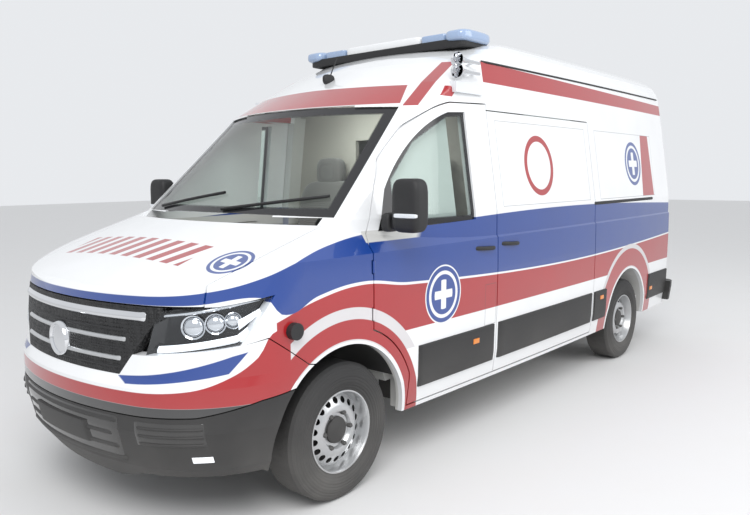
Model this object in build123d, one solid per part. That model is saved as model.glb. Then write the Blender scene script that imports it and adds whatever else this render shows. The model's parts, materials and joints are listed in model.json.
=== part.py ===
from build123d import *
import math
import os

# Overall sizes in mm; +X is forward, +Y the vehicle's left side, +Z up, ground at Z 0
WHEELBASE = 3640.0
FRONT_OVERHANG = 996.0
REAR_OVERHANG = 1230.0
OVERALL_LENGTH = FRONT_OVERHANG + WHEELBASE + REAR_OVERHANG
FRONT_X = OVERALL_LENGTH / 2
REAR_X = -OVERALL_LENGTH / 2
FRONT_AXLE_X = FRONT_X - FRONT_OVERHANG
REAR_AXLE_X = FRONT_AXLE_X - WHEELBASE
TRACK = 1700.0

# Wheels
TYRE_RADIUS = 354.0
TYRE_WIDTH = 226.0
RIM_RADIUS = 213.0
WHEEL_Z = TYRE_RADIUS
KINGPIN_Y = 745.0

# Body plan: barrel sides, upper body drawn in ahead of the waist
SIDE_RADIUS = 70000.0
SIDE_MID_X = 0.0
WAIST_X = 440.0
WAIST_RADIUS = 11500.0
TAIL_RADIUS = 30000.0
NOSE_RADIUS = 1950.0
NOSE_CORNER = 600.0
TAIL_CORNER = 95.0

# Panel thicknesses and gaps
DOOR_T = 60.0
WALL_T = 70.0
NOSE_T = 45.0
POST_T = 130.0
SEAL_GAP = 6.0
GAP = 8.0
HINGE_GAP = 10.0
GLASS_T = 6.0
GLASS_DEPTH = 14.0
FIT = 0.3

# Reach of a cutting shape past the side of the body
PAST_SIDE = 1300.0

# Lower body levels: height, foremost x, half width, rearmost x
LOWER_LEVELS = (
    (240, FRONT_X - 118, 948, REAR_X + 83),
    (345, FRONT_X - 40, 985, REAR_X + 62),
    (520, FRONT_X, 1008, REAR_X + 58),
    (720, FRONT_X, 1014, REAR_X + 58),
    (765, FRONT_X - 21, 1016, REAR_X + 58),
    (1050, FRONT_X - 55, 1020, REAR_X + 58),
    (1250, FRONT_X - 93, 1018, REAR_X + 58),
    (1440, FRONT_X - 233, 880, REAR_X + 160),
)

# Upper body levels: height, foremost x, nose radius, pillar corner, half width, rearmost x, rear corner, lift
UPPER_LEVELS = (
    (1190, 2283, 2493, 70, 1010, REAR_X + 62, 95, 0.0),
    (1420, 2048, 2258, 70, 1008, REAR_X + 60, 95, 0.0),
    (2045, 1407, 1617, 90, 918, REAR_X + 70, 90, 0.0),
    (2200, 1138, 1600, 120, 894, REAR_X + 78, 88, 0.2),
    (2355, 830, 1600, 150, 870, REAR_X + 90, 88, 0.3),
    (2408, 715, 1600, 160, 860, REAR_X + 98, 130, 0.4),
    (2457, 590, 1600, 170, 832, REAR_X + 118, 140, 0.6),
    (2500, 450, 1600, 180, 782, REAR_X + 148, 150, 0.8),
    (2532, 300, 1600, 190, 722, REAR_X + 188, 160, 0.9),
    (2553, 130, 1600, 200, 648, REAR_X + 243, 170, 1.0),
    (2564, -60, 1600, 200, 560, REAR_X + 323, 170, 1.0),
    (2575, -400, 1600, 160, 360, REAR_X + 633, 150, 1.0),
    (2579, -700, 1600, 90, 140, REAR_X + 933, 90, 1.0),
)


def meet(c0, r0, c1, r1, forward):
    """Crossing of two circles that lies furthest forward or rearward."""
    dx = c1[0] - c0[0]
    dy = c1[1] - c0[1]
    d = math.hypot(dx, dy)
    a = (r0 * r0 - r1 * r1 + d * d) / (2 * d)
    h = math.sqrt(r0 * r0 - a * a)
    base = (c0[0] + a * dx / d, c0[1] + a * dy / d)
    one = (base[0] + h * dy / d, base[1] - h * dx / d)
    two = (base[0] - h * dy / d, base[1] + h * dx / d)
    first, last = sorted((one, two))
    return last if forward else first


def along(c, p, r):
    """Point at distance r from c in the direction of p."""
    d = math.hypot(p[0] - c[0], p[1] - c[1])
    return (c[0] + (p[0] - c[0]) * r / d, c[1] + (p[1] - c[1]) * r / d)


def middle(c, r, p, q):
    """Middle of the short arc from p to q about c."""
    return along(c, ((p[0] + q[0]) / 2, (p[1] + q[1]) / 2), r)


def plan_wire(z, front, nose_r, corner, half, rear, rear_corner, waist):
    """Closed plan outline of tangent arcs at height z; waist None leaves the side one arc."""
    nose_c = (front - nose_r, 0.0)
    side_c = (SIDE_MID_X, half - SIDE_RADIUS)
    tail_c = (rear + TAIL_RADIUS, 0.0)
    arcs = []
    flank_c, flank_r = side_c, SIDE_RADIUS
    bend = None
    if waist is not None:
        bend = (waist, side_c[1] + math.sqrt(SIDE_RADIUS**2 - (waist - side_c[0]) ** 2))
        flank_r = WAIST_RADIUS
        flank_c = along(bend, side_c, WAIST_RADIUS)
    pivot = meet(nose_c, nose_r - corner, flank_c, flank_r - corner, True)
    p1 = along(nose_c, pivot, nose_r)
    p2 = along(flank_c, pivot, flank_r)
    rear_pivot = meet(tail_c, TAIL_RADIUS - rear_corner, side_c, SIDE_RADIUS - rear_corner, False)
    p4 = along(side_c, rear_pivot, SIDE_RADIUS)
    p5 = along(tail_c, rear_pivot, TAIL_RADIUS)
    arcs.append((p1, middle(pivot, corner, p1, p2), p2))
    start = p2
    if bend is not None:
        arcs.append((p2, middle(flank_c, flank_r, p2, bend), bend))
        start = bend
    arcs.append((start, middle(side_c, SIDE_RADIUS, start, p4), p4))
    arcs.append((p4, middle(rear_pivot, rear_corner, p4, p5), p5))
    flip = [tuple((p[0], -p[1]) for p in reversed(arc)) for arc in reversed(arcs)]
    ring = [((p1[0], -p1[1]), (front, 0.0), p1)] + arcs + [(p5, (rear, 0.0), (p5[0], -p5[1]))] + flip
    edges = [Edge.make_three_point_arc(*((p[0], p[1], z) for p in arc)) for arc in ring]
    return Wire(edges)


def lower_body(inset):
    """Lower body solid, drawn in by inset on every side."""
    wires = []
    for z, front, half, rear in LOWER_LEVELS:
        wires.append(plan_wire(z, front - inset, NOSE_RADIUS - inset, NOSE_CORNER - inset,
                               half - inset, rear + inset, max(TAIL_CORNER - inset, 20), None))
    return Solid.make_loft(wires, ruled=True)


def upper_body(inset):
    """Upper body and roof solid, drawn in by inset."""
    wires = []
    for z, front, nose_r, corner, half, rear, rear_corner, lift in UPPER_LEVELS:
        waist = min(WAIST_X, front - 500)
        wires.append(plan_wire(z - inset * lift, front - inset, nose_r - inset, max(corner - inset, 25),
                               half - inset, rear + inset, max(rear_corner - inset, 20), waist))
    return Solid.make_loft(wires, ruled=True)


def block(x0, x1, y0, y1, z0, z1):
    """Box between opposite corners."""
    return Pos((x0 + x1) / 2, (y0 + y1) / 2, (z0 + z1) / 2) * Box(abs(x1 - x0), abs(y1 - y0), abs(z1 - z0))


def trace(place, start, steps):
    """Closed face: two numbers in a step give a line, four an arc through a point."""
    edges = []
    here = start
    for step in list(steps) + [start]:
        there = step[-2:]
        if len(step) == 4:
            edges.append(Edge.make_three_point_arc(place(*here), place(*step[:2]), place(*there)))
        elif math.dist(here, there) > 1e-6:
            edges.append(Edge.make_line(place(*here), place(*there)))
        here = there
    return Face(Wire(edges))


def side_prism(path, y0, y1, grow=0.0):
    """Prism across the vehicle of an outline in x and z; grow widens it all round."""
    face = trace(lambda a, b: (a, 0.0, b), path[0], path[1:])
    if grow:
        face = offset(face, amount=grow, kind=Kind.INTERSECTION)
    return Pos(0, y0, 0) * extrude(face, amount=y1 - y0, dir=(0, 1, 0))


def front_prism(path, x0, x1, grow=0.0):
    """Prism along the vehicle of an outline in y and z."""
    face = trace(lambda a, b: (0.0, a, b), path[0], path[1:])
    if grow:
        face = offset(face, amount=grow, kind=Kind.INTERSECTION)
    return Pos(x0, 0, 0) * extrude(face, amount=x1 - x0, dir=(1, 0, 0))


def top_prism(path, z0, z1):
    """Upright prism of an outline in x and y."""
    face = trace(lambda a, b: (a, b, 0.0), path[0], path[1:])
    return Pos(0, 0, z0) * extrude(face, amount=z1 - z0, dir=(0, 0, 1))


def across(x, z, radius, y0, y1):
    """Cylinder along Y."""
    return Pos(x, (y0 + y1) / 2, z) * Rot(90, 0, 0) * Cylinder(radius, abs(y1 - y0))


def upright(x, y, radius, z0, z1):
    """Cylinder along Z."""
    return Pos(x, y, (z0 + z1) / 2) * Cylinder(radius, z1 - z0)


def lengthwise(y, z, radius, x0, x1):
    """Cylinder along X."""
    return Pos((x0 + x1) / 2, y, z) * Rot(0, 90, 0) * Cylinder(radius, abs(x1 - x0))


def turned_y(x, z, profile):
    """Ring about an axle along Y: profile of (radius, y) points."""
    face = Face(Wire.make_polygon([(x + r, y, z) for r, y in profile], close=True))
    return revolve(face, axis=Axis((x, 0, z), (0, 1, 0)))


def mirrored(shape):
    """The same shape on the other side of the vehicle."""
    return mirror(shape, about=Plane.XZ)


def gather(*shapes):
    """Solids that do not touch, kept as one node."""
    return Compound([solid for shape in shapes for solid in shape.solids()])


# Bonnet surface: profile on the centre line, turned about an upright axis
BONNET_AXIS_X = -210.0
BONNET_FRONT = (2890.0, 1062.0)
BONNET_BROW = (2872.0, 1108.0)
BONNET_CREST = (2822.0, 1145.0)
BONNET_REAR = (2113.0, 1400.0)
BONNET_EDGE_Z = 1085.0
BONNET_HALF_FRONT = 800.0
BONNET_HALF_REAR = 846.0
BONNET_HINGE = (1885.0, 1370.0)


def bonnet_cut(drop):
    """Space above the bonnet surface lowered by drop."""
    c = BONNET_AXIS_X
    rear_slope = (BONNET_REAR[1] - BONNET_CREST[1]) / (BONNET_CREST[0] - BONNET_REAR[0])
    tail = (1700.0, BONNET_REAR[1] + rear_slope * (BONNET_REAR[0] - 1700.0))
    pts = [(BONNET_FRONT[0] + 700, BONNET_FRONT[1]), BONNET_FRONT, BONNET_CREST, tail,
           (1700.0, 2000.0), (BONNET_FRONT[0] + 700, 2000.0)]
    at = [(p[0], 0.0, p[1] - drop) for p in pts]
    brow = (BONNET_BROW[0], 0.0, BONNET_BROW[1] - drop)
    edges = [Edge.make_line(at[0], at[1]), Edge.make_three_point_arc(at[1], brow, at[2])]
    edges += [Edge.make_line(a, b) for a, b in zip(at[2:], at[3:] + at[:1])]
    face = Face(Wire(edges))
    return revolve(face, axis=Axis((c, 0, 0), (0, 0, 1)), revolution_arc=180).rotate(
        Axis((c, 0, 0), (0, 0, 1)), -90)


def nose_body(inset):
    """Lower body under the bonnet surface."""
    return lower_body(inset) - bonnet_cut(inset)


# Whole envelope and the layers that the panels are taken from
nose = nose_body(0)
upper = upper_body(0)
outer = nose + upper
door_core = nose_body(DOOR_T) + upper_body(DOOR_T)
wall_core = nose_body(WALL_T) + upper_body(WALL_T)
post_core = nose_body(POST_T) + upper_body(POST_T)
seal_core = nose_body(DOOR_T + SEAL_GAP) + upper_body(DOOR_T + SEAL_GAP)
door_layer = outer - door_core
wall_layer = outer - wall_core
post_layer = seal_core - post_core
nose_layer = nose - nose_body(NOSE_T)

# Floor and sills
FLOOR_TOP = 550.0
FLOOR_T = 50.0
SILL_Z = 345.0
RAIL_Z = 2090.0

# Wheel arches
ARCH_RADIUS = 455.0
ARCH_DEPTH_Y = 500.0
REAR_ARCH_DEPTH_Y = 690.0
HOUSE_T = 14.0
front_arch = across(FRONT_AXLE_X, WHEEL_Z, ARCH_RADIUS, ARCH_DEPTH_Y, 1300)
rear_arch = across(REAR_AXLE_X, WHEEL_Z, ARCH_RADIUS, REAR_ARCH_DEPTH_Y, 1300)

# Front door outline in x and z, with its window
DOOR_REAR_X = 560.0
DOOR_FRONT_X = 1735.0
DOOR_BOTTOM_Z = 375.0
DOOR_TOP_Z = 2079.0
DOOR_ARC = 540.0


def on_arch(radius, degrees):
    """Point at a radius about the front wheel centre, degrees up from straight back."""
    a = math.radians(degrees)
    return (FRONT_AXLE_X - radius * math.cos(a), WHEEL_Z + radius * math.sin(a))


door_path = (
    (DOOR_REAR_X, DOOR_BOTTOM_Z),
    (DOOR_REAR_X, DOOR_TOP_Z),
    (930, DOOR_TOP_Z - 13),
    (1360, 1880, 1625, 1590),
    (DOOR_FRONT_X, 1290),
    on_arch(DOOR_ARC, 68.0),
    on_arch(DOOR_ARC, 44) + on_arch(DOOR_ARC, 22),
    (FRONT_AXLE_X - 495, DOOR_BOTTOM_Z),
)
door_window_path = (
    (790, 1375),
    (790, 2020),
    (960, 2010),
    (1290, 1850, 1560, 1570),
    (1632, 1352),
)

# Sliding door, between the front door and the rear quarter
SLIDER_FRONT_X = DOOR_REAR_X - GAP
SLIDER_REAR_X = -930.0
SLIDER_TOP_Z = 2040.0
slider_path = (
    (SLIDER_REAR_X, DOOR_BOTTOM_Z),
    (SLIDER_REAR_X, SLIDER_TOP_Z),
    (SLIDER_FRONT_X, SLIDER_TOP_Z),
    (SLIDER_FRONT_X, DOOR_BOTTOM_Z),
)

# Windscreen opening in y and z
screen_path = (
    (-846, 1432),
    (0, 1442, 846, 1432),
    (757, 2034),
    (0, 2048, -757, 2034),
)

# Rear doors in y and z
REAR_DOOR_IN = 5.0
REAR_DOOR_OUT = 770.0
REAR_DOOR_LOW = 580.0
REAR_DOOR_TOP = 2330.0
REAR_HINGE_Y = REAR_DOOR_OUT + 5
REAR_HINGE_X = REAR_X + 46

# Front doors
DOOR_INNER_Y = 840.0
door_prism = side_prism(door_path, DOOR_INNER_Y, PAST_SIDE)
door_hole = side_prism(door_path, DOOR_INNER_Y - GAP, PAST_SIDE, GAP)
door_panel = (door_layer & door_prism) - side_prism(door_window_path, 600, PAST_SIDE)
HINGE_X = DOOR_FRONT_X + HINGE_GAP / 2
HINGE_Y = 1000.0
HINGE_LOWS = (905.0, 1150.0)
HINGE_BARREL = 8.0
for low in HINGE_LOWS:
    door_panel += upright(HINGE_X, HINGE_Y, HINGE_BARREL, low, low + 60)
hinge_room = Part()
for low in HINGE_LOWS:
    hinge_room += upright(HINGE_X, HINGE_Y, HINGE_BARREL + 6, low - 6, low + 66)
glass_core = nose_body(GLASS_DEPTH + GLASS_T) + upper_body(GLASS_DEPTH + GLASS_T)
glass_layer = (nose_body(GLASS_DEPTH) + upper_body(GLASS_DEPTH)) - glass_core
door_glass = glass_layer & side_prism(door_window_path, 600, PAST_SIDE, -FIT)

# Sliding doors
slider = door_layer & side_prism(slider_path, 600, PAST_SIDE)
PAD_DEPTH = DOOR_T + SEAL_GAP - FIT
pad_core = nose_body(PAD_DEPTH) + upper_body(PAD_DEPTH)
slider += (door_core - pad_core) & block(SLIDER_FRONT_X - 45, SLIDER_FRONT_X - 20, 600, 1300, 600, 1980)

# Side frame: rear quarter, cant rail, sill, middle post and windscreen pillar
quarter = wall_layer & block(REAR_X - 100, SLIDER_REAR_X - GAP, 500, 1300, SILL_Z, RAIL_Z)
quarter -= block(REAR_X - 100, REAR_X + 400, -1300, REAR_DOOR_OUT + GAP, 0, 2700)
cant = (outer - post_core) & block(SLIDER_REAR_X - 40, 1500, 500, 1300, SLIDER_TOP_Z + GAP, RAIL_Z)
sill = outer & block(SLIDER_REAR_X - 40, FRONT_AXLE_X - 492, 860, 1300, SILL_Z, FLOOR_TOP)
sill_cover = side_prism(slider_path, 600, PAST_SIDE, GAP) - seal_core
post = post_layer & block(DOOR_REAR_X - 60, DOOR_REAR_X + 60, 500, 1300, FLOOR_TOP - 20, SLIDER_TOP_Z + 30)
pillar = (upper - upper_body(WALL_T)) & block(900, 2100, 500, 1300, 1300, RAIL_Z)
pillar -= block(1800, 2300, 0, 790, 1200, 1431)
screen_hole = front_prism(screen_path, 900, 2300)
frame = (quarter + cant + sill + post) - sill_cover
frame += pillar - screen_hole
frame -= block(900, 2300, -1300, 740, 2052, 2200)
frame = frame - (door_hole - seal_core) - side_prism(slider_path, 600, PAST_SIDE, GAP) + post
frame = frame - rear_arch - front_arch
frame -= block(REAR_X - 50, REAR_X + 150.4, 871.6, 1100, 879.6, 1420.4)
side_frame = Compound(frame.solids())

# Roof with the windscreen header and the rear header
roof = wall_layer & block(REAR_X - 100, 1500, -1300, 1300, 2052, 2700)
roof -= block(REAR_X - 100, 1500, 740, 1300, 2000, RAIL_Z)
roof -= block(REAR_X - 100, 1500, -1300, -740, 2000, RAIL_Z)
roof -= screen_hole
roof -= block(REAR_X - 100, REAR_X + 300, -REAR_DOOR_OUT - GAP, REAR_DOOR_OUT + GAP, 0, REAR_DOOR_TOP + GAP)

# Floor pan
FIREWALL_X = 1890.0
SILL_Y = 860.0
HOUSE_ROOM = ARCH_RADIUS + HOUSE_T + FIT
HOUSE_ROOM_Y = ARCH_DEPTH_Y - HOUSE_T - FIT
floor_half = SILL_Y - FIT
floor_bottom = FLOOR_TOP - FLOOR_T
floor = wall_core & block(REAR_X - 100, FIREWALL_X - FIT, -floor_half, floor_half, floor_bottom, FLOOR_TOP)
for side in (1, -1):
    floor -= across(FRONT_AXLE_X, WHEEL_Z, HOUSE_ROOM, side * HOUSE_ROOM_Y, side * PAST_SIDE)
floor = floor - rear_arch - mirrored(rear_arch)

# Wheel houses: rear ones on the floor, front ones as liners under the wings
house = across(REAR_AXLE_X, WHEEL_Z, ARCH_RADIUS + HOUSE_T, REAR_ARCH_DEPTH_Y - HOUSE_T, 1100) - rear_arch
house = (house & wall_core) & block(REAR_AXLE_X - 600, REAR_AXLE_X + 600, 500, 1100, FLOOR_TOP - FLOOR_T, 1200)
floor = floor + house + mirrored(house)
liner = across(FRONT_AXLE_X, WHEEL_Z, ARCH_RADIUS + HOUSE_T, ARCH_DEPTH_Y - HOUSE_T, 1100) - front_arch
liner = (liner & nose_body(NOSE_T + FIT)) & block(FRONT_AXLE_X - 600, FRONT_AXLE_X + 600, 400, 1100, 560, 1200)

# Windscreen
screen = glass_layer & front_prism(screen_path, 900, 2300, -1)

# Nose panels
bonnet_zone = top_prism(((3000, -BONNET_HALF_FRONT), (3000, BONNET_HALF_FRONT), (2650, BONNET_HALF_FRONT),
                         (1960, BONNET_HALF_REAR), (2113, 0, 1960, -BONNET_HALF_REAR),
                         (2650, -BONNET_HALF_FRONT)), BONNET_EDGE_Z, 1600)
bonnet = nose_layer & bonnet_zone
for side in (1, -1):
    bonnet += side_prism(((2030, 1372), (2030, 1345), (1885, 1358), (1885, 1382)), side * 750, side * 770)
    bonnet += across(BONNET_HINGE[0], BONNET_HINGE[1], 13, side * 745, side * 775)
grille_path = ((-655, 1050), (-455, 770), (455, 770), (655, 1050), (655, 1078), (-655, 1078))
lamp_path = ((2380, 1112), (2530, 905), (2808, 866), (2790, 1076), (2600, 1078))
lamp_zone = side_prism(lamp_path, 560, 1200)
lamp = (nose_layer & lamp_zone) - front_prism(grille_path, 2500, 3100, 5)
grille_zone = front_prism(grille_path, 2500, 3100)
grille = nose_layer & grille_zone
bumper_top = ((2000, 722), (2188, 760), (2410, 922), (2530, 904.6), (2808, 865.6), (3000, 850))
bumper_step = ((3000, 595), (2700, 600), (2450, 650), (2000, 690))
bumper_upper = nose_layer & side_prism(bumper_top + bumper_step, -1300, 1300)
bumper_upper = bumper_upper - front_prism(grille_path, 2500, 3100, 0.4) - front_arch - mirrored(front_arch)
lip_path = ((2000, 240), (2000, 684), (2450, 644), (2700, 594), (3000, 589), (3000, 240))
bumper_lower = nose_layer & side_prism(lip_path, -PAST_SIDE, PAST_SIDE)
bumper_lower = bumper_lower - front_arch - mirrored(front_arch) - block(1000, 2790, -900, 900, 200, 300)
wing = nose_layer & block(FRONT_AXLE_X - 490, 2860, 500, 1300, SILL_Z, 1500)
wing = wing - door_hole - hinge_room - front_arch - side_prism(lamp_path, 500, 1300, 4)
bumper_room = ((2000, 200), (2000, 728), (2188, 766), (2410, 928), (2532, 904), (2830, 864),
               (3100, 855), (3100, 200))
wing = wing - side_prism(bumper_room, 400, PAST_SIDE)
wing = wing - top_prism(((3000, 400), (3000, BONNET_HALF_FRONT + 8), (2650, BONNET_HALF_FRONT + 8),
                         (1950, BONNET_HALF_REAR + 8), (1700, 860), (1700, 400)), 1060, 1700)
wing = wing - upper - block(2655, 3100, 0, 1300, 0, 2000)

# Wheels, hubs and steering
TYRE_HALF = TYRE_WIDTH / 2

# Half the tyre's section from bead to crown: radius, distance from the wheel plane
tyre_half = ((RIM_RADIUS, TYRE_HALF - 17), (RIM_RADIUS + 40, TYRE_HALF - 1), (TYRE_RADIUS - 60, TYRE_HALF),
             (TYRE_RADIUS - 12, TYRE_HALF - 17), (TYRE_RADIUS, TYRE_HALF - 33))
tyre_profile = tuple((r, -y) for r, y in tyre_half) + tuple(reversed(tyre_half))

# Rim and disc section: radius, distance from the wheel plane
RIM_BED = RIM_RADIUS - 14
RIM_SEAT = RIM_RADIUS - FIT
RIM_HALF = 94.0
rim_profile = ((70, -20), (70, 60), (120, 62), (150, 40), (185, 30), (RIM_BED, 60), (RIM_BED, RIM_HALF),
               (RIM_SEAT, RIM_HALF), (RIM_SEAT, -RIM_HALF), (RIM_BED, -RIM_HALF), (RIM_BED, 10),
               (185, 0), (150, 10), (110, -20))


def wheel_at(x, y):
    """Tyre and rim with the hub face outboard, wheel plane at y."""
    tyre = Pos(0, y, 0) * turned_y(x, WHEEL_Z, tyre_profile)
    rim = Pos(0, y, 0) * turned_y(x, WHEEL_Z, rim_profile)
    return tyre, gather(rim + across(x, WHEEL_Z, 70.5, y + 20, y + 70))


front_tyre, front_rim = wheel_at(FRONT_AXLE_X, TRACK / 2)
rear_tyre, rear_rim = wheel_at(REAR_AXLE_X, TRACK / 2)
knuckle = across(FRONT_AXLE_X, WHEEL_Z, 60, TRACK / 2 - 90, TRACK / 2 + 14)
knuckle += across(FRONT_AXLE_X, WHEEL_Z, 150, TRACK / 2 - 60, TRACK / 2 - 44)
knuckle += across(FRONT_AXLE_X, WHEEL_Z, 100, TRACK / 2 - 50, TRACK / 2 - 20.3)
knuckle += upright(FRONT_AXLE_X, KINGPIN_Y, 26, 220, WHEEL_Z + 150)

# Running gear under the floor
TOW_X = REAR_X + 300
TOW_Y = 455.0
TOW_PITCH = 120.0
TOW_HOLE = 7.0
TOW_DEPTH = 60.0
RAIL_TOP = FLOOR_TOP - FLOOR_T - FIT
RAIL_BOTTOM = 380.0
subframe = block(FRONT_AXLE_X - 220, FRONT_AXLE_X + 540, -470, 470, 250, 310)
for side in (1, -1):
    subframe += block(FRONT_AXLE_X - 30, FRONT_AXLE_X + 30, side * 420, side * KINGPIN_Y, 180, 219.7)
    subframe += upright(FRONT_AXLE_X, side * KINGPIN_Y, 36, 180, 219.7)
    subframe += block(FRONT_AXLE_X - 200, FRONT_AXLE_X + 200, side * 425, side * 470, 180, RAIL_BOTTOM - FIT)
engine = block(FRONT_AXLE_X + 10, FRONT_AXLE_X + 540, -410, 410, 310.3, 900)
rails = Part()
for side in (1, -1):
    rails += block(REAR_X + 130, FRONT_X - 160, side * 420, side * 490, RAIL_BOTTOM, RAIL_TOP)
for x in (REAR_X + 175, -700.0, 300.0, 1250.0, FRONT_X - 230):
    rails += block(x - 40, x + 40, -430, 430, 390, 480)
for x in (TOW_X - TOW_PITCH / 2, TOW_X + TOW_PITCH / 2):
    for side in (1, -1):
        rails -= upright(x, side * TOW_Y, TOW_HOLE, 300, RAIL_BOTTOM + TOW_DEPTH)
axle = across(REAR_AXLE_X, WHEEL_Z - 60, 45, -690, 690)
for side in (1, -1):
    axle += across(REAR_AXLE_X, WHEEL_Z, 60, side * (TRACK / 2 - 160), side * (TRACK / 2 + 14))
    axle += across(REAR_AXLE_X, WHEEL_Z, 100, side * (TRACK / 2 - 50), side * (TRACK / 2 - 20.3))
    axle += block(REAR_AXLE_X - 60, REAR_AXLE_X + 60, side * 660, side * 720, WHEEL_Z - 110, WHEEL_Z + 60)
    axle += block(REAR_AXLE_X - 650, REAR_AXLE_X + 650, side * 540, side * 610, WHEEL_Z - 110, WHEEL_Z - 85)
    for end in (-640, 600):
        axle += block(REAR_AXLE_X + end, REAR_AXLE_X + end + 40, side * 545, side * 605, WHEEL_Z - 100, RAIL_TOP)
tank = block(250, 1150, 520, 830, 260, RAIL_TOP)

# Rear doors
rear_zone = block(REAR_X - 100, REAR_X + 300, REAR_DOOR_IN, REAR_DOOR_OUT, REAR_DOOR_LOW, REAR_DOOR_TOP)
rear_panel = door_layer & rear_zone
rear_window_path = ((120, 1400), (120, 2000), (720, 2000), (740, 1400))
rear_panel -= front_prism(rear_window_path, REAR_X - 100, REAR_X + 400)
rear_glass = glass_layer & front_prism(rear_window_path, REAR_X - 100, REAR_X + 300, -FIT)
for low in (700.0, 1300.0, 2120.0):
    rear_panel += upright(REAR_HINGE_X, REAR_HINGE_Y, 10, low, low + 90)
    rear_panel += block(REAR_HINGE_X - 10, REAR_X + 110, REAR_HINGE_Y - 60, REAR_HINGE_Y - 6, low, low + 90)
rear_bumper = (lower_body(-58) - lower_body(-FIT)) & block(REAR_X - 50, REAR_X + 190, -1100, 1100, 385, 572)
rear_bumper += (lower_body(-1) - lower_body(60)) & block(REAR_X, REAR_X + 129.7, -777.7, 777.7, 385, 572)

# Cabin
partition = (seal_core & block(460, DOOR_REAR_X - 60.3, -1000, 1000, FLOOR_TOP + FIT, 2560)) - roof
partition = partition - side_frame - mirrored(side_frame)
partition -= block(400, 500, -250, 350, 1450, 1900)
firewall = block(FIREWALL_X, FIREWALL_X + 35, -780, 780, 500, 1330)
for side in (1, -1):
    firewall -= across(FRONT_AXLE_X, WHEEL_Z, HOUSE_ROOM, side * HOUSE_ROOM_Y, side * PAST_SIDE)
DASH_FRONT = FIREWALL_X - FIT
dash_path = ((1610, 900), (1610, 1240), (1660, 1330), (DASH_FRONT, 1350), (DASH_FRONT, 900))
dash = side_prism(dash_path, -815, 815)
STEERING_PLACE = Pos(1420, 470, 1240) * Rot(0, -62, 0)
COLUMN_LENGTH = 240.0
STEERING_HUB = 40.0
dash += STEERING_PLACE * Pos(0, 0, -(COLUMN_LENGTH + STEERING_HUB) / 2 - FIT) * Cylinder(36, COLUMN_LENGTH)


def seat_at(y, half):
    """Seat on its pedestal facing forward."""
    body = block(760, 1180, y - half + 60, y + half - 60, FLOOR_TOP + FIT, 880)
    body += block(700, 1240, y - half, y + half, 880, 1010)
    body += side_prism(((640, 930), (520, 1560), (640, 1580), (800, 1000)), y - half, y + half)
    body += block(540, 640, y - 110, y + 110, 1560, 1780)
    return body


seat_driver = seat_at(470, 245)
seat_passenger = seat_at(-420, 300)
wheel_ring = STEERING_PLACE * Torus(190, 16)
wheel_ring += STEERING_PLACE * Box(370, 40, 20)
wheel_ring += STEERING_PLACE * Cylinder(55, STEERING_HUB)

# Mirrors on the front doors
mirror_foot = block(1520, 1640, 850, 1010, 1350, 1450) - (nose_body(-FIT) + upper_body(-FIT))
mirror_arm = block(1545, 1615, 990, 1110, 1375, 1425)
mirror_head = block(1540, 1650, 1040, 1213, 1370, 1650)
mirror_unit = mirror_head + mirror_arm + mirror_foot

# Roof equipment
roof_seat = upper_body(-FIT)
BAR_TOP = 2545.0
bar_base = block(200, 545, -720, 720, 2400, BAR_TOP) - roof_seat
bar_lens = Part()
for side in (1, -1):
    bar_lens += block(190, 555, side * 360, side * 740, BAR_TOP + FIT, 2612)
sign = block(240, 505, -350, 350, BAR_TOP + FIT, 2606)
horns = Part()
for z in (2258.0, 2322.0):
    horns += lengthwise(915, z, 28, 830, 880) + lengthwise(915, z, 12, 640, 840)
horns += block(660, 700, 800, 915, 2255, 2325) - roof_seat
antenna = (upright(1036, 0, 24, 2220, 2300) - roof_seat) + upright(1036, 0, 3, 2290, 2560)
scene_light = block(600, 890, 800, 918, 2133, 2197) - roof_seat
tail_zone = block(REAR_X, REAR_X + 150, 872, 1100, 880, 1420)
tail_lamp = wall_layer & tail_zone
inlet = across(2284, 940, 40, 900, 1010) - lower_body(-FIT)

nodes = {
    "floor_pan": floor,
    "chassis_rails": rails,
    "side_frame_left": side_frame,
    "side_frame_right": mirrored(side_frame),
    "roof": roof,
    "sliding_door_left": slider,
    "sliding_door_right": mirrored(slider),
    "front_wing_left": wing,
    "front_wing_right": mirrored(wing),
    "bumper_upper": bumper_upper,
    "bumper_lower": bumper_lower,
    "grille": grille,
    "headlamps": gather(lamp, mirrored(lamp)),
    "windscreen": screen,
    "wheel_liners": gather(liner, mirrored(liner)),
    "firewall": firewall,
    "dashboard": dash,
    "partition": partition,
    "seat_driver": seat_driver,
    "seat_passenger": seat_passenger,
    "engine_block": engine,
    "front_subframe": subframe,
    "rear_axle": axle,
    "fuel_tank": tank,
    "rear_bumper": rear_bumper,
    "tail_lamps": gather(tail_lamp, mirrored(tail_lamp)),
    "light_bar_base": bar_base,
    "light_bar_lenses": bar_lens,
    "light_bar_sign": sign,
    "air_horns": horns,
    "roof_antenna": antenna,
    "scene_lights": gather(scene_light, mirrored(scene_light)),
    "power_inlet": inlet,
    "steering_wheel": wheel_ring,
    "front_door_left": door_panel,
    "front_door_right": mirrored(door_panel),
    "front_door_glass_left": door_glass,
    "front_door_glass_right": mirrored(door_glass),
    "mirror_left": mirror_unit,
    "mirror_right": mirrored(mirror_unit),
    "rear_door_left": rear_panel,
    "rear_door_right": mirrored(rear_panel),
    "rear_door_glass_left": rear_glass,
    "rear_door_glass_right": mirrored(rear_glass),
    "bonnet": bonnet,
    "knuckle_left": knuckle,
    "knuckle_right": mirrored(knuckle),
    "tyre_front_left": front_tyre,
    "tyre_front_right": mirrored(front_tyre),
    "tyre_rear_left": rear_tyre,
    "tyre_rear_right": mirrored(rear_tyre),
    "rim_front_left": front_rim,
    "rim_front_right": mirrored(front_rim),
    "rim_rear_left": rear_rim,
    "rim_rear_right": mirrored(rear_rim),
}

os.makedirs("parts", exist_ok=True)
for name, shape in nodes.items():
    export_step(shape, f"parts/{name}.step")
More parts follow.
